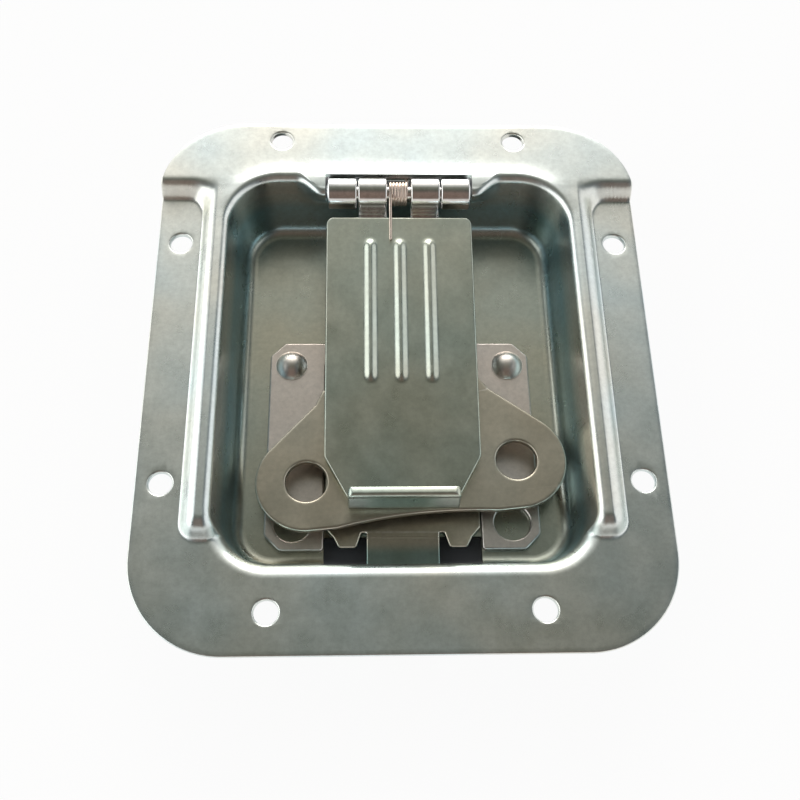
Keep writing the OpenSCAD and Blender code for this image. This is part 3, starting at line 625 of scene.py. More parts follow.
@dataclass
class Dish:
    """Pressed pan with its flange, raised strip, ridges, holes, hook slot and hinge notch."""

    half_width: float = 56.0
    top: float = 60.9
    bottom: float = -65.1
    corner: float = 20.0
    sheet: float = 1.2
    room_half: float = 39.8
    room_top: float = 44.7
    room_bottom: float = -47.6
    room_corner: float = 12.0
    raise_height: float = 4.2
    floor_z: float = -11.8
    draft: float = 10.5
    fillet: float = 3.0
    crest_round: float = 2.0
    low_round: float = 3.4
    strip_foot: float = 41.3
    ridge_foot: float = 46.5
    ridge_end: float = -42.2
    ridge_end_round: float = 4.2
    flow: float = 4.5
    strip_crest: float = 1.75
    ridge_crest: float = 3.9
    bead: float = 0.5
    bead_width: float = 6.0
    tongue: float = 4.3
    tongue_from: float = 24.5
    tongue_to: float = 17.8
    hole: float = 2.5
    hole_ease: float = 0.45
    side_holes: tuple[float, float] = (50.7, 29.5)
    top_holes: tuple[float, float] = (27.8, 55.9)
    low_holes: tuple[float, float] = (27.8, -56.5)
    floor_holes: tuple[tuple[float, float, float], ...] = (
        (0.0, -5.1, 2.53), (-25.1, 3.3, 2.03), (25.1, 3.3, 2.03))
    notch_half: float = 17.3
    notch: tuple[tuple[float, float], ...] = (
        (34.7, -0.75), (48.9, -0.75), (48.9, 4.2), (45.8, 4.2), (45.8, 13.0), (34.7, 13.0))
    slot_half: float = 17.2
    slot: tuple[tuple[float, float], ...] = ((-51.0, -15.0), (-37.6, -15.0), (-37.6, -1.8), (-51.0, -1.8))
    slot_corner: float = 0.3
    edge: float = 0.3

    @property
    def face_z(self) -> float:
        """Height of the flange's face."""
        return self.sheet

    def ramp(self, d: np.ndarray, crest: float) -> np.ndarray:
        """Raised share (0 to 1) at a distance inside a foot line.

        The bent sheet goes over a small hollow arc, a straight flank of 62 degrees and a wider
        crest arc, so that its back, one sheet lower, doesn't fold.

        Args:
            d: distance from the foot, inwards.
            crest: radius of the crest arc.

        Returns:
            Share of the full raise.
        """
        slope, hollow = math.radians(62), 0.7
        a = np.linspace(0, slope, 9)
        run = (self.raise_height - (hollow + crest) * (1 - math.cos(slope))) / math.tan(slope)
        x0 = hollow * np.sin(a)
        z0 = hollow * (1 - np.cos(a))
        x1 = x0[-1] + run + crest * (math.sin(slope) - np.sin(a[::-1]))
        z1 = self.raise_height - crest * (1 - np.cos(a[::-1]))
        return np.interp(d, np.concatenate([x0, x1]), np.concatenate([z0, z1])) / self.raise_height

    def height(self, x: np.ndarray, y: np.ndarray) -> np.ndarray:
        """Height of the flange's front: the face, raised by the strip and by the two ridges.

        Both raises are a ramp of a distance inside their foot lines, with a rounder crest on the
        ridge. The ridge's distance is that to a band with a round end; the larger of the two
        distances counts, and where they are alike a parabola of the flow width joins them, so that
        the corner between them is hollow.

        Args:
            x: places across.
            y: places along.

        Returns:
            z at each place.
        """
        strip = y - self.strip_foot
        r = self.ridge_end_round
        inner = np.maximum(np.abs(x) - (self.ridge_foot - r), 0)
        below = np.maximum(self.ridge_end + r - y, 0)
        ridge = np.where(np.abs(x) > self.ridge_foot - r, r - np.hypot(inner, below), r - below)
        near = np.maximum(self.flow - np.abs(strip - ridge), 0) / self.flow
        both = np.maximum(strip, ridge) + near ** 2 * self.flow / 4
        share = np.clip((ridge - strip) / self.flow + 0.5, 0, 1)
        lift = self.ramp(both, self.strip_crest) * (1 - share) + self.ramp(both, self.ridge_crest) * share
        return self.face_z + self.raise_height * lift + self.bead_rise(x, y)

    def bead_rise(self, x: np.ndarray, y: np.ndarray) -> np.ndarray:
        """Slight swell of the strip towards the opening: a bell of the distance to the opening's outline.

        Args:
            x: places across.
            y: places along.

        Returns:
            Extra height at each place; it fades out below the strip's foot.
        """
        r = self.room_corner
        middle, reach = (self.room_top + self.room_bottom) / 2, (self.room_top - self.room_bottom) / 2
        out_x = np.maximum(np.abs(x) - self.room_half + r, 0)
        out_y = np.maximum(np.abs(y - middle) - reach + r, 0)
        away = np.maximum(np.hypot(out_x, out_y) - r, 0)
        share = np.clip((y - self.strip_foot + 6) / 9, 0, 1)
        return self.bead * np.exp(-(away / self.bead_width * 2) ** 2) * share ** 2 * (3 - 2 * share)

    @staticmethod
    def frame_loop(half: float, low: float, high: float, r: float,
                   counts: tuple[int, int, int, int, int]) -> tuple[np.ndarray, np.ndarray]:
        """Rounded rectangle as matching stations with their outward directions.

        Args:
            half: half of the width.
            low: lowest y.
            high: highest y.
            r: corner radius.
            counts: stations on a side, an upper corner, the top, a lower corner and the bottom.

        Returns:
            Points (n, 2) counter-clockwise from the lower end of the right side, and directions.
        """
        side, upper, top, lower, bottom = counts
        ease = (1 - np.cos(np.linspace(0, math.pi, side, endpoint=False))) / 2
        even = np.linspace(0, 1, top, endpoint=False)
        low_even = np.linspace(0, 1, bottom, endpoint=False)
        xs, ys, an = [], [], []

        def straight(a: tuple[float, float], b: tuple[float, float], share: np.ndarray, angle: float) -> None:
            """Adds a straight run from a to b that faces the angle."""
            xs.append(a[0] + (b[0] - a[0]) * share)
            ys.append(a[1] + (b[1] - a[1]) * share)
            an.append(np.full(len(share), angle))

        def corner(cx: float, cy: float, start: float, steps: int) -> None:
            """Adds a quarter circle about a centre from a start angle."""
            a = start + np.linspace(0, math.pi / 2, steps, endpoint=False)
            xs.append(cx + r * np.cos(a))
            ys.append(cy + r * np.sin(a))
            an.append(a)

        straight((half, low + r), (half, high - r), ease, 0.0)
        corner(half - r, high - r, 0.0, upper)
        straight((half - r, high), (r - half, high), even, math.pi / 2)
        corner(r - half, high - r, math.pi / 2, upper)
        straight((-half, high - r), (-half, low + r), ease, math.pi)
        corner(r - half, low + r, math.pi, lower)
        straight((r - half, low), (half - r, low), low_even, 1.5 * math.pi)
        corner(half - r, low + r, 1.5 * math.pi, lower)
        angle = np.concatenate(an)
        points = np.stack([np.concatenate(xs), np.concatenate(ys)], -1)
        return points, np.stack([np.cos(angle), np.sin(angle)], -1)

    def front(self) -> tuple[np.ndarray, np.ndarray]:
        """Front of the pressed sheet on a grid.

        Rows go from the edge of the floor over the fillet, up the wall, over the rim and out to
        the flange's edge; columns go once round the room.

        Returns:
            Points (rows, columns, 3), and the outward direction (columns, 2) of the flange's edge.
        """
        counts = (46, 80, 72, 48, 30)
        room, out = self.frame_loop(self.room_half, self.room_bottom, self.room_top, self.room_corner, counts)
        outline, edge_out = self.frame_loop(self.half_width, self.bottom, self.top, self.corner, counts)
        draft = math.radians(self.draft)
        crest_z = self.face_z + self.raise_height
        touch = math.tan((math.pi / 2 - draft) / 2)
        rim_z = np.full(len(room), self.face_z)
        for _ in range(24):
            share = (rim_z - self.face_z) / self.raise_height
            rim_r = self.low_round + (self.crest_round - self.low_round) * share
            reach = (rim_z - crest_z) * math.tan(draft) + rim_r * touch
            guess = room + out * reach[:, None]
            rim_z = self.height(guess[:, 0], guess[:, 1])
        wall_in = (crest_z - self.floor_z) * math.tan(draft)
        run = self.fillet * touch
        a = np.linspace(-math.pi / 2, -draft, 12)[:, None]
        fillet_p = -wall_in - run + self.fillet * np.cos(a) + 0 * rim_z
        fillet_z = self.floor_z + self.fillet + self.fillet * np.sin(a) + 0 * rim_z
        reach = (rim_z - crest_z) * math.tan(draft) + rim_r * touch
        b = np.linspace(math.pi - draft, math.pi / 2, 12)[:, None]
        rim_p = reach + rim_r * np.cos(b)
        rim_h = rim_z - rim_r + rim_r * np.sin(b)
        s = np.linspace(0, 1, 10)[1:-1, None]
        wall_p = fillet_p[-1] * (1 - s) + rim_p[0] * s
        wall_z = fillet_z[-1] * (1 - s) + rim_h[0] * s
        p = np.concatenate([fillet_p, wall_p, rim_p])
        z = np.concatenate([fillet_z, wall_z, rim_h])
        pulled = np.clip((self.tongue_from - np.abs(room[:, 0])) / (self.tongue_from - self.tongue_to), 0, 1)
        pulled = np.where(room[:, 1] > self.room_top - 0.1, pulled ** 2 * (3 - 2 * pulled), 0)
        high = np.clip((z + 3) / (crest_z + 3), 0, 1)
        p = p - self.tongue * pulled * high ** 2 * (3 - 2 * high)
        cup = np.concatenate([room[None] + p[..., None] * out[None], z[..., None]], -1)
        t = np.concatenate([np.linspace(0, 0.36, 32)[1:], np.linspace(0.36, 1, 12)[1:]])[:, None, None]
        inset = outline - edge_out * self.edge
        flat = cup[-1, None, :, :2] * (1 - t) + inset[None] * t
        lift = self.height(flat[..., 0], flat[..., 1])
        return np.concatenate([cup, np.concatenate([flat, lift[..., None]], -1)]), edge_out

    def cutter(self) -> bpy.types.Mesh:
        """Everything that is punched out of the sheet: holes with eased rims, hook slot and notch."""
        shell = Shell()
        crest_z = self.face_z + self.raise_height
        (side_x, side_y), (top_x, top_y), (low_x, low_y) = self.side_holes, self.top_holes, self.low_holes
        rivets = [(side_x, side_y, self.face_z), (side_x, -side_y, self.face_z),
                  (low_x, low_y, self.face_z), (top_x, top_y, crest_z)]
        e = self.hole_ease
        for x, y, z in rivets:
            ease = arc((self.hole + e, z - e), e, 180, 90, 6)
            punch = np.concatenate([[[0, z - 3], [self.hole, z - 3]], ease,
                                    [[self.hole + e, z + 2], [0, z + 2]]])
            shell.revolve(punch, (-x, y, 0), Axis.Z, 40)
            shell.revolve(punch, (x, y, 0), Axis.Z, 40)
        for x, y, r in self.floor_holes:
            shell.revolve(np.array([[0, -14], [r, -14], [r, -11], [0, -11]]), (x, y, 0), Axis.Z, 32)
        self.bar(shell, np.array(self.notch), self.notch_half)
        slot = rounded_loop(np.array(self.slot), np.full(len(self.slot), self.slot_corner), 3)
        self.bar(shell, slot, self.slot_half)
        return shell.mesh("punch")

    @staticmethod
    def bar(shell: Shell, section: np.ndarray, half: float) -> None:
        """Adds a straight bar along x: a section of (y, z) points carried from -half to half."""
        n = len(section)
        ends = [np.column_stack([np.full(n, x), section]) for x in (-half, half)]
        shell.grid(np.stack(ends), wrap_columns=True)
        triangles = [list(t) for t in tessellate_polygon([[Vector((*p, 0)) for p in section]])]
        shell.add(ends[0], triangles)
        shell.add(ends[1], triangles)

    def build(self, shop: Workshop) -> bpy.types.Object:
        """Builds the dish: front and back of the sheet, its eased edge, and everything punched out.

        Args:
            shop: workshop that dresses the piece.

        Returns:
            The dish.
        """
        front, out = self.front()
        along = np.roll(front, -1, 1) - np.roll(front, 1, 1)
        across = np.gradient(front, axis=0)
        normal = np.cross(across, along)
        normal = normal / np.linalg.norm(normal, axis=2, keepdims=True)
        normal[0] = (0, 0, 1)
        back = front - normal * self.sheet
        outward = np.concatenate([out, np.zeros((len(out), 1))], 1)[None]
        e = self.edge
        profile = np.concatenate([arc((0, -e), e, 90, 0, 5), arc((0, e - self.sheet), e, 0, -90, 5)])
        rim = front[-1:] + profile[:, :1, None] * outward + profile[:, 1:, None] * normal[-1:]
        rows = np.concatenate([front, rim[1:-1], back[::-1]])
        shell = Shell()
        shell.grid(rows, wrap_columns=True)
        n = front.shape[1]
        shell.add(rows[0], [list(range(n))], True)
        shell.add(rows[-1], [list(range(n))], True)
        sheet = bpy.data.objects.new("sheet", shell.mesh("sheet"))
        punch = bpy.data.objects.new("punch", self.cutter())
        for o in (sheet, punch):
            bpy.context.scene.collection.objects.link(o)
        cut = sheet.modifiers.new("punch", "BOOLEAN")
        cut.operation = "DIFFERENCE"
        cut.solver = "EXACT"
        cut.use_self = True  # the back folds over itself at the notch
        cut.object = punch
        graph = bpy.context.evaluated_depsgraph_get()
        pressed = bpy.data.meshes.new_from_object(sheet.evaluated_get(graph))
        pressed.name = "pressed_dish"
        for o in (sheet, punch):
            bpy.data.objects.remove(o)
        return shop.piece("pressed_dish", pressed, SATIN_ZINC, Body.FRAME, ("dish",))


@dataclass
class BasePlate:
    """Flat plate on the dish floor, with the slot for the hook and two domed rivets."""

    half: float = 30.1
    low: float = -40.9
    high: float = 9.2
    floor_z: float = -11.8
    thickness: float = 1.6
    chamfer: float = 3.4
    slot_half: float = 17.2
    slot_top: float = 4.4
    edge: float = 0.4
    hole_x: float = 24.0
    hole_y: float = -34.9
    hole: float = 4.0
    rivet_x: float = 25.1
    rivet_y: float = 3.3
    head_radius: float = 3.7
    head_height: float = 2.1
    shank: float = 2.0
    shank_end: float = -12.9

    def build(self, shop: Workshop) -> None:
        """Builds the plate and its rivets with the workshop."""
        c = self.chamfer
        right = [[self.slot_half, self.slot_top], [self.slot_half, self.low], [self.half - c, self.low],
                 [self.half, self.low + c], [self.half, self.high - c], [self.half - c, self.high]]
        corners = np.array(right + [[-x, y] for x, y in right[::-1]])
        radii = np.array([1.2, 0.8, 1.6, 1.6, 1.6, 1.6, 1.6, 1.6, 1.6, 1.6, 0.8, 1.2])
        holes = [circle_loop((s * self.hole_x, self.hole_y), self.hole) for s in (-1, 1)]
        top = self.floor_z + self.thickness
        shell = Shell()
        shell.plate([rounded_loop(corners, radii), *holes], self.floor_z, top, self.edge)
        shop.piece("guide_plate", shell.mesh("guide_plate"), PINK_ZINC, Body.FRAME, ("base_plate",))
        dome = (self.head_radius ** 2 + self.head_height ** 2) / (2 * self.head_height)
        edge = math.degrees(math.asin(self.head_radius / dome))
        crown = arc((0, top + self.head_height - dome), dome, 90, 90 - edge * 0.96, 14)
        foot = np.array([[self.head_radius, top + 0.15], [self.head_radius, top], [self.shank, top],
                         [self.shank, self.shank_end], [0, self.shank_end]])
        for name, s in (("left", -1), ("right", 1)):
            rivet = Shell()
            rivet.revolve(np.concatenate([crown, foot]), (s * self.rivet_x, self.rivet_y, 0), Axis.Z, 40)
            shop.piece(f"domed_rivet_{name}", rivet.mesh(f"domed_rivet_{name}"), RIVET_ZINC, Body.FRAME,
                       (f"base_rivet_{name}",))


@dataclass
class FlapHinge:
    """Fixed leaf with the two outer knuckles, the pin, and the torsion spring in the middle."""

    y: float = 41.9
    z: float = 3.45
    radius: float = 3.6
    pin: float = 1.8
    bore: float = 1.83
    knuckle_edge: float = 0.45
    head: float = 0.5
    half: float = 16.7
    knuckle: float = 6.8
    spring_room: float = 5.6
    gap: float = 0.3
    leaf: float = 1.5
    leaf_length: float = 12.0
    slope: float = 5.45
    wire: float = 0.9
    turns: int = 5
    leg: float = 12.5

    def build(self, shop: Workshop) -> None:
        """Builds the leaf, the pin and the spring with the workshop."""
        at = (0.0, self.y, self.z)
        inner = self.half - self.knuckle
        leaf = Shell()
        leaf.tube(-self.half, -inner, self.radius, self.bore, self.knuckle_edge, at)
        leaf.tube(inner, self.half, self.radius, self.bore, self.knuckle_edge, at)
        cut = self.y + self.radius + 0.6
        near = self.y + self.pin + 0.3
        far = self.y + self.leaf_length
        w = inner + self.gap
        corners = np.array([[-self.half, near], [-w, near], [-w, cut], [w, cut], [w, near], [self.half, near],
                            [self.half, far], [-self.half, far]])
        outline = rounded_loop(corners, np.full(len(corners), 0.5))
        leaf.plate([outline], self.z - self.leaf / 2, self.z + self.leaf / 2, 0.25)
        shop.piece("fixed_leaf", leaf.mesh("fixed_leaf"), BRIGHT_ZINC, Body.FRAME, ("hinge_leaf",))
        head = arc((self.half + 0.02, 0), self.pin * 1.25, 90, 0, 10)
        head[:, 0] = self.half + (head[:, 0] - self.half) * self.head / (self.pin * 1.25)
        side = np.concatenate([[[self.half, self.pin]], head])
        whole = np.concatenate([side[::-1], [[0, self.pin]], side * np.array([-1, 1])])
        pin = Shell()
        pin.revolve(whole[:, ::-1], at, Axis.X, 32)
        shop.piece("hinge_rod", pin.mesh("hinge_rod"), BRIGHT_ZINC, Body.FRAME, ("hinge_pin",))
        self.build_spring(shop)

    def build_spring(self, shop: Workshop) -> None:
        """Builds the spring: the coil with its rear leg stays with the frame, the front leg with the flap."""
        coil_r = self.pin + 0.05 + self.wire * 0.75
        pitch = (self.spring_room - self.wire - 2 * self.gap) / self.turns
        x0 = -pitch * self.turns / 2
        front = np.array([-self.leg, 0.7 + self.wire / 2 + 0.05])
        reach = np.linalg.norm(front)
        lean = math.radians(self.slope)
        start = math.pi - math.atan2(front[1], self.leg) - math.acos(coil_r / reach) + lean
        back = np.array([self.leaf_length - 2, -(self.leaf + self.wire) / 2 - 0.05])
        stop = math.atan2(back[1], back[0]) - math.acos(coil_r / np.linalg.norm(back))
        s = np.linspace(0, 1, self.turns * 32 + 1)
        a = start - (TAU * self.turns + start - stop) * s
        at = np.array([0, self.y, self.z])
        coil = np.stack([x0 - 2 * x0 * s, coil_r * np.cos(a), coil_r * np.sin(a)], -1)
        share = np.linspace(0, 1, 9)[1:, None]
        rear = coil[-1] * (1 - share) + np.array([-x0, *back]) * share
        wound = Shell()
        wound.wire(np.concatenate([coil, rear]) + at, self.wire / 2 * 0.9)
        shop.piece("spring_coil", wound.mesh("spring_coil"), DRAWN_WIRE, Body.FRAME, ("flap_spring",))
        c, k = math.cos(lean), math.sin(lean)
        tip = np.array([x0, front[0] * c - front[1] * k, front[0] * k + front[1] * c])
        share = np.linspace(0, 1, 12)[:, None]
        leg = Shell()
        leg.wire(coil[0] * (1 - share) + tip * share + at, self.wire / 2 * 0.75)
        shop.piece("spring_leg", leg.mesh("spring_leg"), DRAWN_WIRE, Body.FLAP, ())


@dataclass
class CoverFlap:
    """Sprung cover flap: ribbed sheet with a tapered end, a lip bent up, and two knuckles."""

    hinge_y: float = 41.9
    hinge_z: float = 3.45
    slope: float = 5.45
    width: float = 34.0
    sheet: float = 1.4
    start: float = 6.6
    length: float = 74.0
    corner: float = 1.8
    taper: float = 9.4
    lip_width: float = 23.6
    lip_angle: float = 106.0
    lip_run: float = 6.0
    lip_corner: float = 1.3
    hem: float = 0.45
    hem_length: float = 2.0
    bend: float = 2.2
    rib_pitch: float = 6.8
    rib_from: float = 14.0
    rib_to: float = 46.0
    rib_half: float = 1.75
    rib_height: float = 0.75
    edge: float = 0.35
    hem_round: float = 0.8
    knuckle_r: float = 3.6
    knuckle_bore: float = 1.9
    knuckle_edge: float = 0.45
    knuckle: float = 6.8
    neck: float = 0.95
    neck_bend: float = 1.2
    spring_gap: float = 5.6

    def place(self, x: np.ndarray, y: np.ndarray, z: np.ndarray) -> np.ndarray:
        """Takes points from the flap's own frame (origin on the hinge, -y along it) to the latch's."""
        c, s = math.cos(math.radians(self.slope)), math.sin(math.radians(self.slope))
        return np.stack([x, self.hinge_y + y * c - z * s, self.hinge_z + y * s + z * c], -1)

    def ribs(self, x: np.ndarray, s: np.ndarray) -> np.ndarray:
        """Height of the three pressed ribs: a raised cosine of the distance to each rib's line."""
        beyond = np.maximum(np.maximum(self.rib_from - s, s - self.rib_to), 0)
        total = np.zeros(np.broadcast(x, s).shape)
        for i in (-1, 0, 1):
            d = np.clip(np.hypot(x - i * self.rib_pitch, beyond) / self.rib_half, 0, 1)
            total = total + self.rib_height * np.cos(d * math.pi / 2) ** 2
        return total

    def sheet_grid(self) -> np.ndarray:
        """Flap sheet on a grid: a flat closed section carried along the flap and up its lip.

        Stations run from the hinge end over the straight, the bend and the lip; the section runs
        over the face, round one edge, over the back and round the other. Near both ends the
        section's thickness closes as an ellipse.

        Returns:
            Points (stations, section, 3) in the latch's frame.
        """
        t, e = self.sheet, self.edge
        mid = self.bend - t / 2
        most = math.radians(self.lip_angle)
        bend_len = mid * most
        total = self.length + bend_len + self.lip_run
        close_in = [0, 0.01, 0.04, 0.1, 0.2, 0.35]
        near = self.start + np.concatenate([close_in, np.linspace(0.5, self.corner, 10)])
        body = np.linspace(self.start + self.corner, self.length, 110)[1:-1]
        curve = np.linspace(self.length, self.length + bend_len, 16)
        end = total - np.array([2.4, 2.0, 1.6, 1.2, 0.9, 0.6, 0.35, 0.2, 0.1, 0.04, 0.01, 0])
        lip = np.linspace(self.length + bend_len, total - 2.4, 6)[1:-1]
        s = np.concatenate([near, body, curve, lip, end])
        off = np.clip(self.corner - (s - self.start), 0, self.corner)
        half = self.width / 2 - self.corner + np.sqrt(np.maximum(self.corner ** 2 - off ** 2, 0))
        cone = np.clip((s - (self.length - self.taper)) / self.taper, 0, 1)
        half = half - cone * (self.width - self.lip_width) / 2
        round_off = np.clip(s - total + self.lip_corner, 0, self.lip_corner)
        half = half - self.lip_corner + np.sqrt(self.lip_corner ** 2 - round_off ** 2)
        rolled = np.clip((s - total + self.hem_length) / self.hem_length * 2, 0, 1)
        most_thick = t / 2 + self.hem * rolled ** 2 * (3 - 2 * rolled)
        ease = np.where(s > self.length, self.hem_round, e)
        close = np.minimum(np.minimum(s - self.start, total - s) / ease, 1)
        thick = most_thick - ease + ease * np.sqrt(np.maximum(1 - (1 - close) ** 2, 0))
        thick = np.where(close <= 0, 0, thick)
        q = np.linspace(-1, 1, 110)
        edge = arc((0, 0), 1, 90, -90, 9)[1:-1]
        u = np.concatenate([q, np.ones(7), q[::-1], -np.ones(7)])
        bulge = np.concatenate([np.zeros(110), edge[:, 0], np.zeros(110), -edge[::-1, 0]]) * e
        side = np.concatenate([np.ones(110), edge[:, 1], -np.ones(110), edge[::-1, 1]])
        x = u * np.maximum(half - e, 0.01)[:, None] + bulge
        ss = np.repeat(s[:, None], len(u), 1)
        over = side * thick[:, None] + self.ribs(x, ss) * (close[:, None] > 0)
        turn = np.clip((ss - self.length) / bend_len, 0, 1) * most
        rise = np.maximum(ss - self.length - bend_len, 0)
        y = -np.minimum(ss, self.length) - mid * np.sin(turn) - rise * math.cos(most) + over * np.sin(turn)
        z = mid * (1 - np.cos(turn)) + rise * math.sin(most) + over * np.cos(turn)
        return self.place(x, y, z)

    def build(self, shop: Workshop) -> None:
        """Builds the sheet, the knuckles and their necks with the workshop."""
        shell = Shell()
        shell.grid(self.sheet_grid(), wrap_columns=True)
        barrel = Shell()
        for s in (-1, 1):
            x0 = self.spring_gap / 2 if s > 0 else -self.spring_gap / 2 - self.knuckle
            barrel.tube(x0, x0 + self.knuckle, self.knuckle_r, self.knuckle_bore, self.knuckle_edge,
                        (0, self.hinge_y, self.hinge_z))
            path = np.array([[-1.6, -2.7], [-4.9, -2.2], [-self.start - 0.9, -0.5],
                             [-self.start - 2.6, -0.2]])
            neck = Shell()
            neck.strap(bent_path(path, self.neck_bend), self.knuckle / 2, self.neck, 0.3)
            p = np.concatenate(neck.points)
            barrel.add(self.place(p[:, 0] + x0 + self.knuckle / 2, p[:, 1], p[:, 2]), neck.faces)
        shop.piece("ribbed_flap", shell.mesh("ribbed_flap"), FLAP_ZINC, Body.FLAP, ("flap",))
        shop.piece("flap_knuckles", barrel.mesh("flap_knuckles"), BRIGHT_ZINC, Body.FLAP, ())


@dataclass
class TurningWing:
    """Two-lobed wing under the flap, with a hole in each lobe and a hinge knuckle in the middle."""

    y: float = -5.1
    z: float = -5.6
    thickness: float = 1.8
    edge: float = 0.45
    margin: float = 0.3
    knuckle_edge: float = 0.3
    turn: float = 6.0
    lobe_x: float = 23.0
    lobe_drop: float = 19.8
    lobe: float = 11.0
    hole: float = 4.5
    shoulder: float = 19.5
    shoulder_drop: float = 2.0
    hollow: float = 1.3
    knuckle_r: float = 2.4
    knuckle: float = 14.4
    ear_slot: float = 3.4
    ear_depth: float = 3.6
    pin: float = 1.35

    def outline(self) -> np.ndarray:
        """Outline of the wing, counter-clockwise: shoulders, lobes and the hollow lower edge.

        A straight flank runs from each shoulder to where it touches the lobe's circle; the lower
        edge is a shallow arc between the lobes.

        Returns:
            Points (n, 2) in the wing's own frame.
        """
        lobe = np.array([self.lobe_x, -self.lobe_drop])
        shoulder = np.array([self.shoulder, -self.shoulder_drop])
        d = lobe - shoulder
        reach = float(np.hypot(*d))
        a = math.atan2(d[1], d[0]) + math.asin(self.lobe / reach)
        touch = shoulder + math.sqrt(reach ** 2 - self.lobe ** 2) * np.array([math.cos(a), math.sin(a)])
        side = math.degrees(math.atan2(touch[1] - lobe[1], touch[0] - lobe[0]))
        low = -self.lobe_drop - self.lobe
        span = self.lobe_x - self.lobe / 2
        hollow_r = (span ** 2 + self.hollow ** 2) / (2 * self.hollow)
        swing = math.degrees(math.asin(span / hollow_r))
        hollow = arc((0, low + self.hollow - hollow_r), hollow_r, 90 + swing, 90 - swing, 31)
        right = arc((self.lobe_x, -self.lobe_drop), self.lobe, -90, side, 48)
        top = self.shoulder_drop * 0.75
        k, deep = self.knuckle / 2, -self.ear_depth
        ear = k + self.ear_slot
        corners = np.array([touch, shoulder, [self.shoulder - self.shoulder_drop, top], [ear, top],
                            [ear, deep], [k, deep], [k, top], [0, top]])
        bend = rounded_loop(corners, np.array([0.1, 1.4, 1.4, 0.5, 0.5, 0.5, 0.5, 0.1]), 6)[6:42]
        half = np.concatenate([right, bend])
        return np.concatenate([hollow, half, (half * np.array([-1, 1]))[::-1]])

    def build(self, shop: Workshop) -> None:
        """Builds the wing with the workshop."""
        shell = Shell()
        holes = [circle_loop((s * self.lobe_x, -self.lobe_drop), self.hole) for s in (-1, 1)]
        half = self.thickness / 2
        shell.plate([self.outline(), *holes], -half, half, self.edge, self.margin)
        k = self.knuckle / 2
        shell.tube(-k, k, self.knuckle_r, self.pin, self.knuckle_edge, (0, 0, 0))
        shell.moved(self.turn, (0, self.y, self.z))
        shop.piece("two_lobed_wing", shell.mesh("two_lobed_wing"), WARM_ZINC, Body.WING, ("wing",))


@dataclass
class SlidingHook:
    """Sliding hook plate: flat body with two tabs, and a nose bent down that leaves the dish."""

    z: float = -11.6
    thickness: float = 1.5
    top: float = 4.1
    half: float = 16.9
    axis_y: float = -5.1
    bend_y: float = -38.1
    relief: float = 1.1
    tab: float = 15.0
    nose: float = 7.9
    tip: float = -59.1
    low_z: float = -12.9
    slope_end: float = -45.0
    lip: float = 5.0
    edge: float = 0.35
    bend: float = 0.76
    sink: float = 0.05
    hub: float = 4.45
    crank_y: float = -0.57
    crank_x: float = 8.75
    crank_half: float = 2.35

    def outline(self) -> np.ndarray:
        """Outline of the flat body, counter-clockwise, with its tabs, the hub slot and the crank slot.

        Returns:
            Points (n, 2).
        """
        r, b = self.relief, self.bend_y
        inner = self.nose + r
        crank_top, crank_low = self.crank_y + self.crank_half, self.crank_y - self.crank_half
        right = [[self.nose, b - 0.3], [self.nose, b + r], [inner, b + r], [inner + r, b - 2 * r],
                 [self.tab - r, b - 2 * r], [self.tab, b], [self.half, b + 2 * r], [self.half, self.top],
                 [self.hub, self.top], [self.hub, crank_top], [self.crank_x, crank_top],
                 [self.crank_x, crank_low], [self.hub, crank_low], [self.hub, self.axis_y - self.hub + 0.8],
                 [self.hub - 0.8, self.axis_y - self.hub]]
        left = [[-x, y] for x, y in (right[:9] + right[13:])[::-1]]
        size = [0.3, 0.4, 0.4, 0.8, 0.8, 0.8, 0.8, 0.8, 0.6, 0.4, 0.4, 0.4, 0.4, 0.4, 0.4]
        radii = size + (size[:9] + size[13:])[::-1]
        return rounded_loop(np.array(right + left), np.array(radii), 6)

    def build(self, shop: Workshop) -> None:
        """Builds the hook with the workshop."""
        shell = Shell()
        shell.plate([self.outline()], self.z, self.z + self.thickness, self.edge)
        h = self.thickness / 2
        root = self.z + h - self.sink
        path = np.array([[self.bend_y + 2.0, root], [self.bend_y - 0.3, root],
                         [self.slope_end, self.low_z + h], [self.tip + h, self.low_z + h],
                         [self.tip + h, self.low_z + self.lip]])
        shell.strap(bent_path(path, self.bend), self.nose, self.thickness, self.edge)
        shop.piece("nosed_hook", shell.mesh("nosed_hook"), HOOK_ZINC, Body.HOOK, ("hook_plate",))


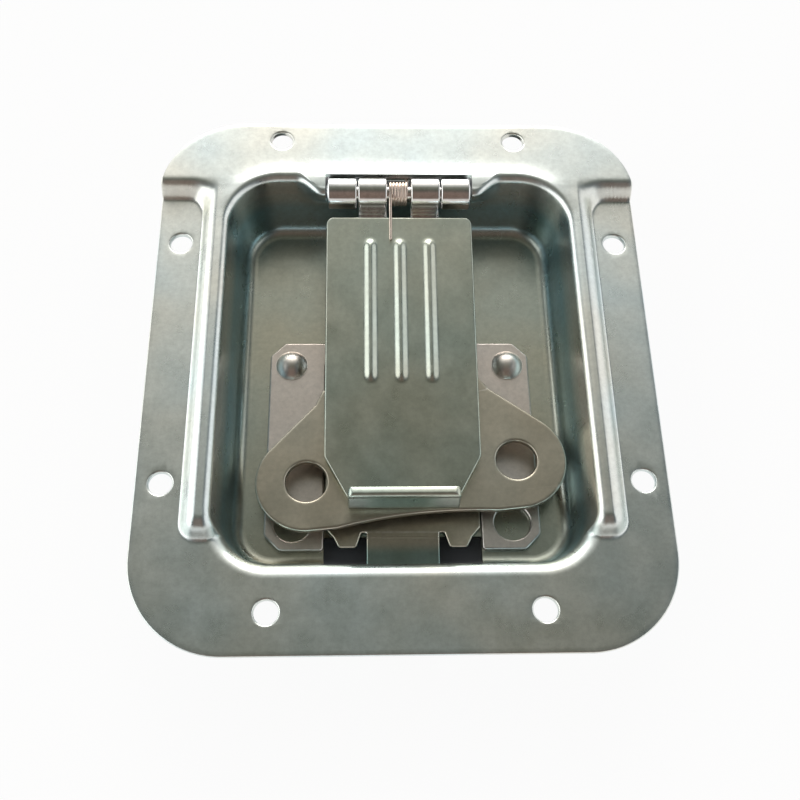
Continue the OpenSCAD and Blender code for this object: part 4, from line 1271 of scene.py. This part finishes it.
@dataclass(frozen=True)
class Studio:
    """Camera at the photograph's place, pale floor and soft light from beyond the upper edge."""

    tilt: float = 24.42
    roll: float = -0.99
    yaw: float = -1.77
    shift: tuple[float, float, float] = (0.38, -7.85, 216.6)
    aim: tuple[float, float, float] = (0.0, -2.1, 1.2)
    lens: float = 44.16
    sensor: float = 36.0
    floor_z: float = -0.0131
    floor_half: float = 9.0
    floor_pale: Colour = (0.92, 0.92, 0.91)
    # Painted shadow under the pan: its dark colour, half sizes, middle and fade.
    painted_shadow_colour: Colour = (0.05, 0.05, 0.055)
    floor_glow: float = 0.93
    painted_shadow_half: tuple[float, float] = (0.046, 0.061)
    painted_shadow_y: float = 0.0075
    painted_shadow_fade: tuple[float, float] = (0.45, 0.9)
    sky_top: float = 7.5
    sky: tuple[tuple[float, Colour], ...] = (
        (-1.0, (0.17, 0.125, 0.10)), (-0.5, (0.21, 0.155, 0.13)), (-0.2, (0.11, 0.10, 0.085)),
        (0.0, (0.12, 0.125, 0.10)), (0.17, (0.18, 0.185, 0.155)), (0.27, (0.205, 0.21, 0.18)),
        (0.34, (0.26, 0.265, 0.235)), (0.41, (0.46, 0.47, 0.435)), (0.5, (0.50, 0.51, 0.475)),
        (0.57, (0.84, 0.83, 0.79)), (0.65, (1.0, 0.98, 0.94)), (0.76, (1.8, 1.76, 1.68)),
        (0.86, (5.5, 5.4, 5.2)), (1.0, (7.0, 6.9, 6.6)))
    side_dark: Colour = (0.035, 0.07, 0.09)
    right_fall: tuple[float, float] = (0.2, 0.55)
    left_fall: tuple[float, float] = (-0.2, -0.7)
    left_light: Colour = (1.9, 1.9, 1.87)
    left_edge: tuple[float, float] = (-0.58, -0.72)
    right_light: Colour = (1.1, 1.1, 1.1)
    right_edge: tuple[float, float] = (0.56, 0.72)
    horizon: Colour = (0.80, 0.77, 0.74)
    horizon_fade: tuple[float, float] = (0.36, 0.22)

    def camera(self) -> None:
        """Makes the camera: turned by tilt, yaw and roll, and moved to the fitted place."""
        t, y, r = (math.radians(v) for v in (self.tilt, self.yaw, self.roll))
        m_roll = np.array([[math.cos(r), -math.sin(r), 0], [math.sin(r), math.cos(r), 0], [0, 0, 1]])
        m_yaw = np.array([[math.cos(y), 0, math.sin(y)], [0, 1, 0], [-math.sin(y), 0, math.cos(y)]])
        m_tilt = np.array([[1, 0, 0], [0, math.cos(t), math.sin(t)], [0, -math.sin(t), math.cos(t)]])
        whole = m_tilt @ m_yaw @ m_roll
        flip = np.diag([1.0, -1, -1])
        place = np.array(self.aim) - flip @ whole.T @ np.array(self.shift)
        matrix = np.eye(4)
        matrix[:3, :3] = (flip @ whole @ flip).T
        matrix[:3, 3] = place * MM
        data = bpy.data.cameras.new("photo_camera")
        data.lens = self.lens
        data.sensor_width = self.sensor
        data.clip_start, data.clip_end = 0.01, 20.0
        camera = bpy.data.objects.new("photo_camera", data)
        camera.matrix_world = Matrix(matrix.tolist())
        bpy.context.scene.collection.objects.link(camera)
        bpy.context.scene.camera = camera

    def floor(self) -> None:
        """Makes the pale floor under the back of the dish; it keeps the latch's shadow.

        The floor glows white for the camera and in reflections. Under the pan a painted shadow darkens it and
        stops the glow, where (x / a)^4 + (y / b)^4 is small.
        """
        w, z = self.floor_half, self.floor_z
        mesh = bpy.data.meshes.new("floor")
        mesh.from_pydata([(-w, -w, z), (w, -w, z), (w, w, z), (-w, w, z)], [], [(0, 1, 2, 3)])
        mat = bpy.data.materials.new("pale_floor")
        mat.use_nodes = True
        nodes, link = mat.node_tree.nodes, mat.node_tree.links.new

        def worked(operation: str, a: bpy.types.NodeSocket,
                   b: bpy.types.NodeSocket | float) -> bpy.types.NodeSocket:
            """Adds a Math node on a socket and a socket or number, and gives its output."""
            node = add_node(nodes, "Math", operation=operation)
            link(a, node.inputs[0])
            if isinstance(b, bpy.types.NodeSocket):
                link(b, node.inputs[1])
            else:
                node.inputs[1].default_value = b
            return node.outputs[0]

        shader = nodes["Principled BSDF"]
        shader.inputs["Roughness"].default_value = 0.9
        place = add_node(nodes, "TexCoord")
        split = add_node(nodes, "SeparateXYZ")
        link(place.outputs["Object"], split.inputs["Vector"])
        # painted shadow under the pan: dark inside the footprint, fading out softly
        across = worked("POWER", worked("DIVIDE", split.outputs["X"], self.painted_shadow_half[0]), 4.0)
        middle = worked("ADD", split.outputs["Y"], -self.painted_shadow_y)
        along = worked("POWER", worked("DIVIDE", middle, self.painted_shadow_half[1]), 4.0)
        fade = add_node(nodes, "MapRange", {"From Min": self.painted_shadow_fade[0], "From Max": self.painted_shadow_fade[1]},
                        interpolation_type="SMOOTHSTEP")
        link(worked("ADD", across, along), fade.inputs["Value"])
        outside = fade.outputs["Result"]
        shade = add_node(nodes, "Mix", data_type="RGBA")
        shade.inputs["A"].default_value = (*self.painted_shadow_colour, 1)
        shade.inputs["B"].default_value = (*self.floor_pale, 1)
        link(outside, shade.inputs["Factor"])
        link(shade.outputs["Result"], shader.inputs["Base Color"])
        glow = add_node(nodes, "Emission", {"Color": (1, 1, 1, 1)})
        rays = add_node(nodes, "LightPath")
        seen = worked("MAXIMUM", rays.outputs["Is Camera Ray"], rays.outputs["Is Glossy Ray"])
        seen = worked("MAXIMUM", seen, rays.outputs["Is Transmission Ray"])
        mix = add_node(nodes, "MixShader")
        # no glow inside the painted shadow
        link(worked("MULTIPLY", worked("MULTIPLY", seen, outside), self.floor_glow), mix.inputs["Fac"])
        link(shader.outputs["BSDF"], mix.inputs[1])
        link(glow.outputs["Emission"], mix.inputs[2])
        link(mix.outputs["Shader"], nodes["Material Output"].inputs["Surface"])
        mesh.materials.append(mat)
        floor = bpy.data.objects.new("floor", mesh)
        bpy.context.scene.collection.objects.link(floor)

    def scaled(self, colour: Colour) -> tuple[float, float, float, float]:
        """Colour of the sky as a share of its greatest strength."""
        return (*(v / self.sky_top for v in colour), 1)

    def light(self) -> None:
        """Makes the light: a sky that is olive overhead and brown in front, with a bright soft light
        low beyond the upper edge, a wide bright side on the left, a narrow one on the right and a
        pale horizon.
        """
        world = bpy.data.worlds.new("studio")
        bpy.context.scene.world = world
        world.use_nodes = True
        nodes, link = world.node_tree.nodes, world.node_tree.links.new
        back = nodes["Background"]
        back.inputs["Strength"].default_value = self.sky_top
        place = add_node(nodes, "TexCoord")
        split = add_node(nodes, "SeparateXYZ")
        link(place.outputs["Generated"], split.inputs["Vector"])

        def step(source: bpy.types.NodeSocket, ends: tuple[float, float]) -> bpy.types.NodeSocket:
            """Adds a smooth step from 0 at the first end to 1 at the other."""
            node = add_node(nodes, "MapRange", {"From Min": ends[0], "From Max": ends[1]},
                            interpolation_type="SMOOTHSTEP")
            link(source, node.inputs["Value"])
            return node.outputs["Result"]

        def mixed(share: bpy.types.NodeSocket, under: bpy.types.NodeSocket, over: Colour,
                  blend: str = "MIX") -> bpy.types.NodeSocket:
            """Adds a mix of a colour over what is there."""
            node = add_node(nodes, "Mix", data_type="RGBA", blend_type=blend)
            link(share, node.inputs["Factor"])
            link(under, node.inputs["A"])
            node.inputs["B"].default_value = self.scaled(over)
            return node.outputs["Result"]

        level = add_node(nodes, "MapRange", {"From Min": -1.0})
        link(split.outputs["Y"], level.inputs["Value"])
        ramp = add_node(nodes, "ValToRGB")
        set_ramp(ramp, tuple(((y + 1) / 2, self.scaled(colour)[:3]) for y, colour in self.sky))
        link(level.outputs["Result"], ramp.inputs["Fac"])
        colour = ramp.outputs["Color"]
        for fall, over in ((self.right_fall, self.side_dark), (self.left_fall, self.side_dark),
                           (self.left_edge, self.left_light), (self.right_edge, self.right_light)):
            colour = mixed(step(split.outputs["X"], fall), colour, over)
        height = add_node(nodes, "Math", operation="ABSOLUTE")
        link(split.outputs["Z"], height.inputs[0])
        colour = mixed(step(height.outputs[0], self.horizon_fade), colour, self.horizon, "LIGHTEN")
        link(colour, back.inputs["Color"])

    def build(self) -> None:
        """Builds camera, floor and light."""
        bpy.context.scene.view_settings.view_transform = "Standard"
        self.camera()
        self.floor()
        self.light()


def main() -> None:
    """Builds the studio and every piece of the latch in order, and logs each piece as it is made."""
    logging.basicConfig(level=logging.INFO, format="%(name)s: %(message)s")
    Studio().build()
    shop = Workshop()
    Dish().build(shop)
    BasePlate().build(shop)
    FlapHinge().build(shop)
    CoverFlap().build(shop)
    TurningWing().build(shop)
    SlidingHook().build(shop)
    shop.dress("rotor", WARM_ZINC)
    shop.dress("spring_washer", DRAWN_WIRE)
    for node in ("rotor_stud", "thrust_washer", "crank_pin", "wing_pin"):
        shop.dress(node, BRIGHT_ZINC)


if __name__ == "__main__":
    main()
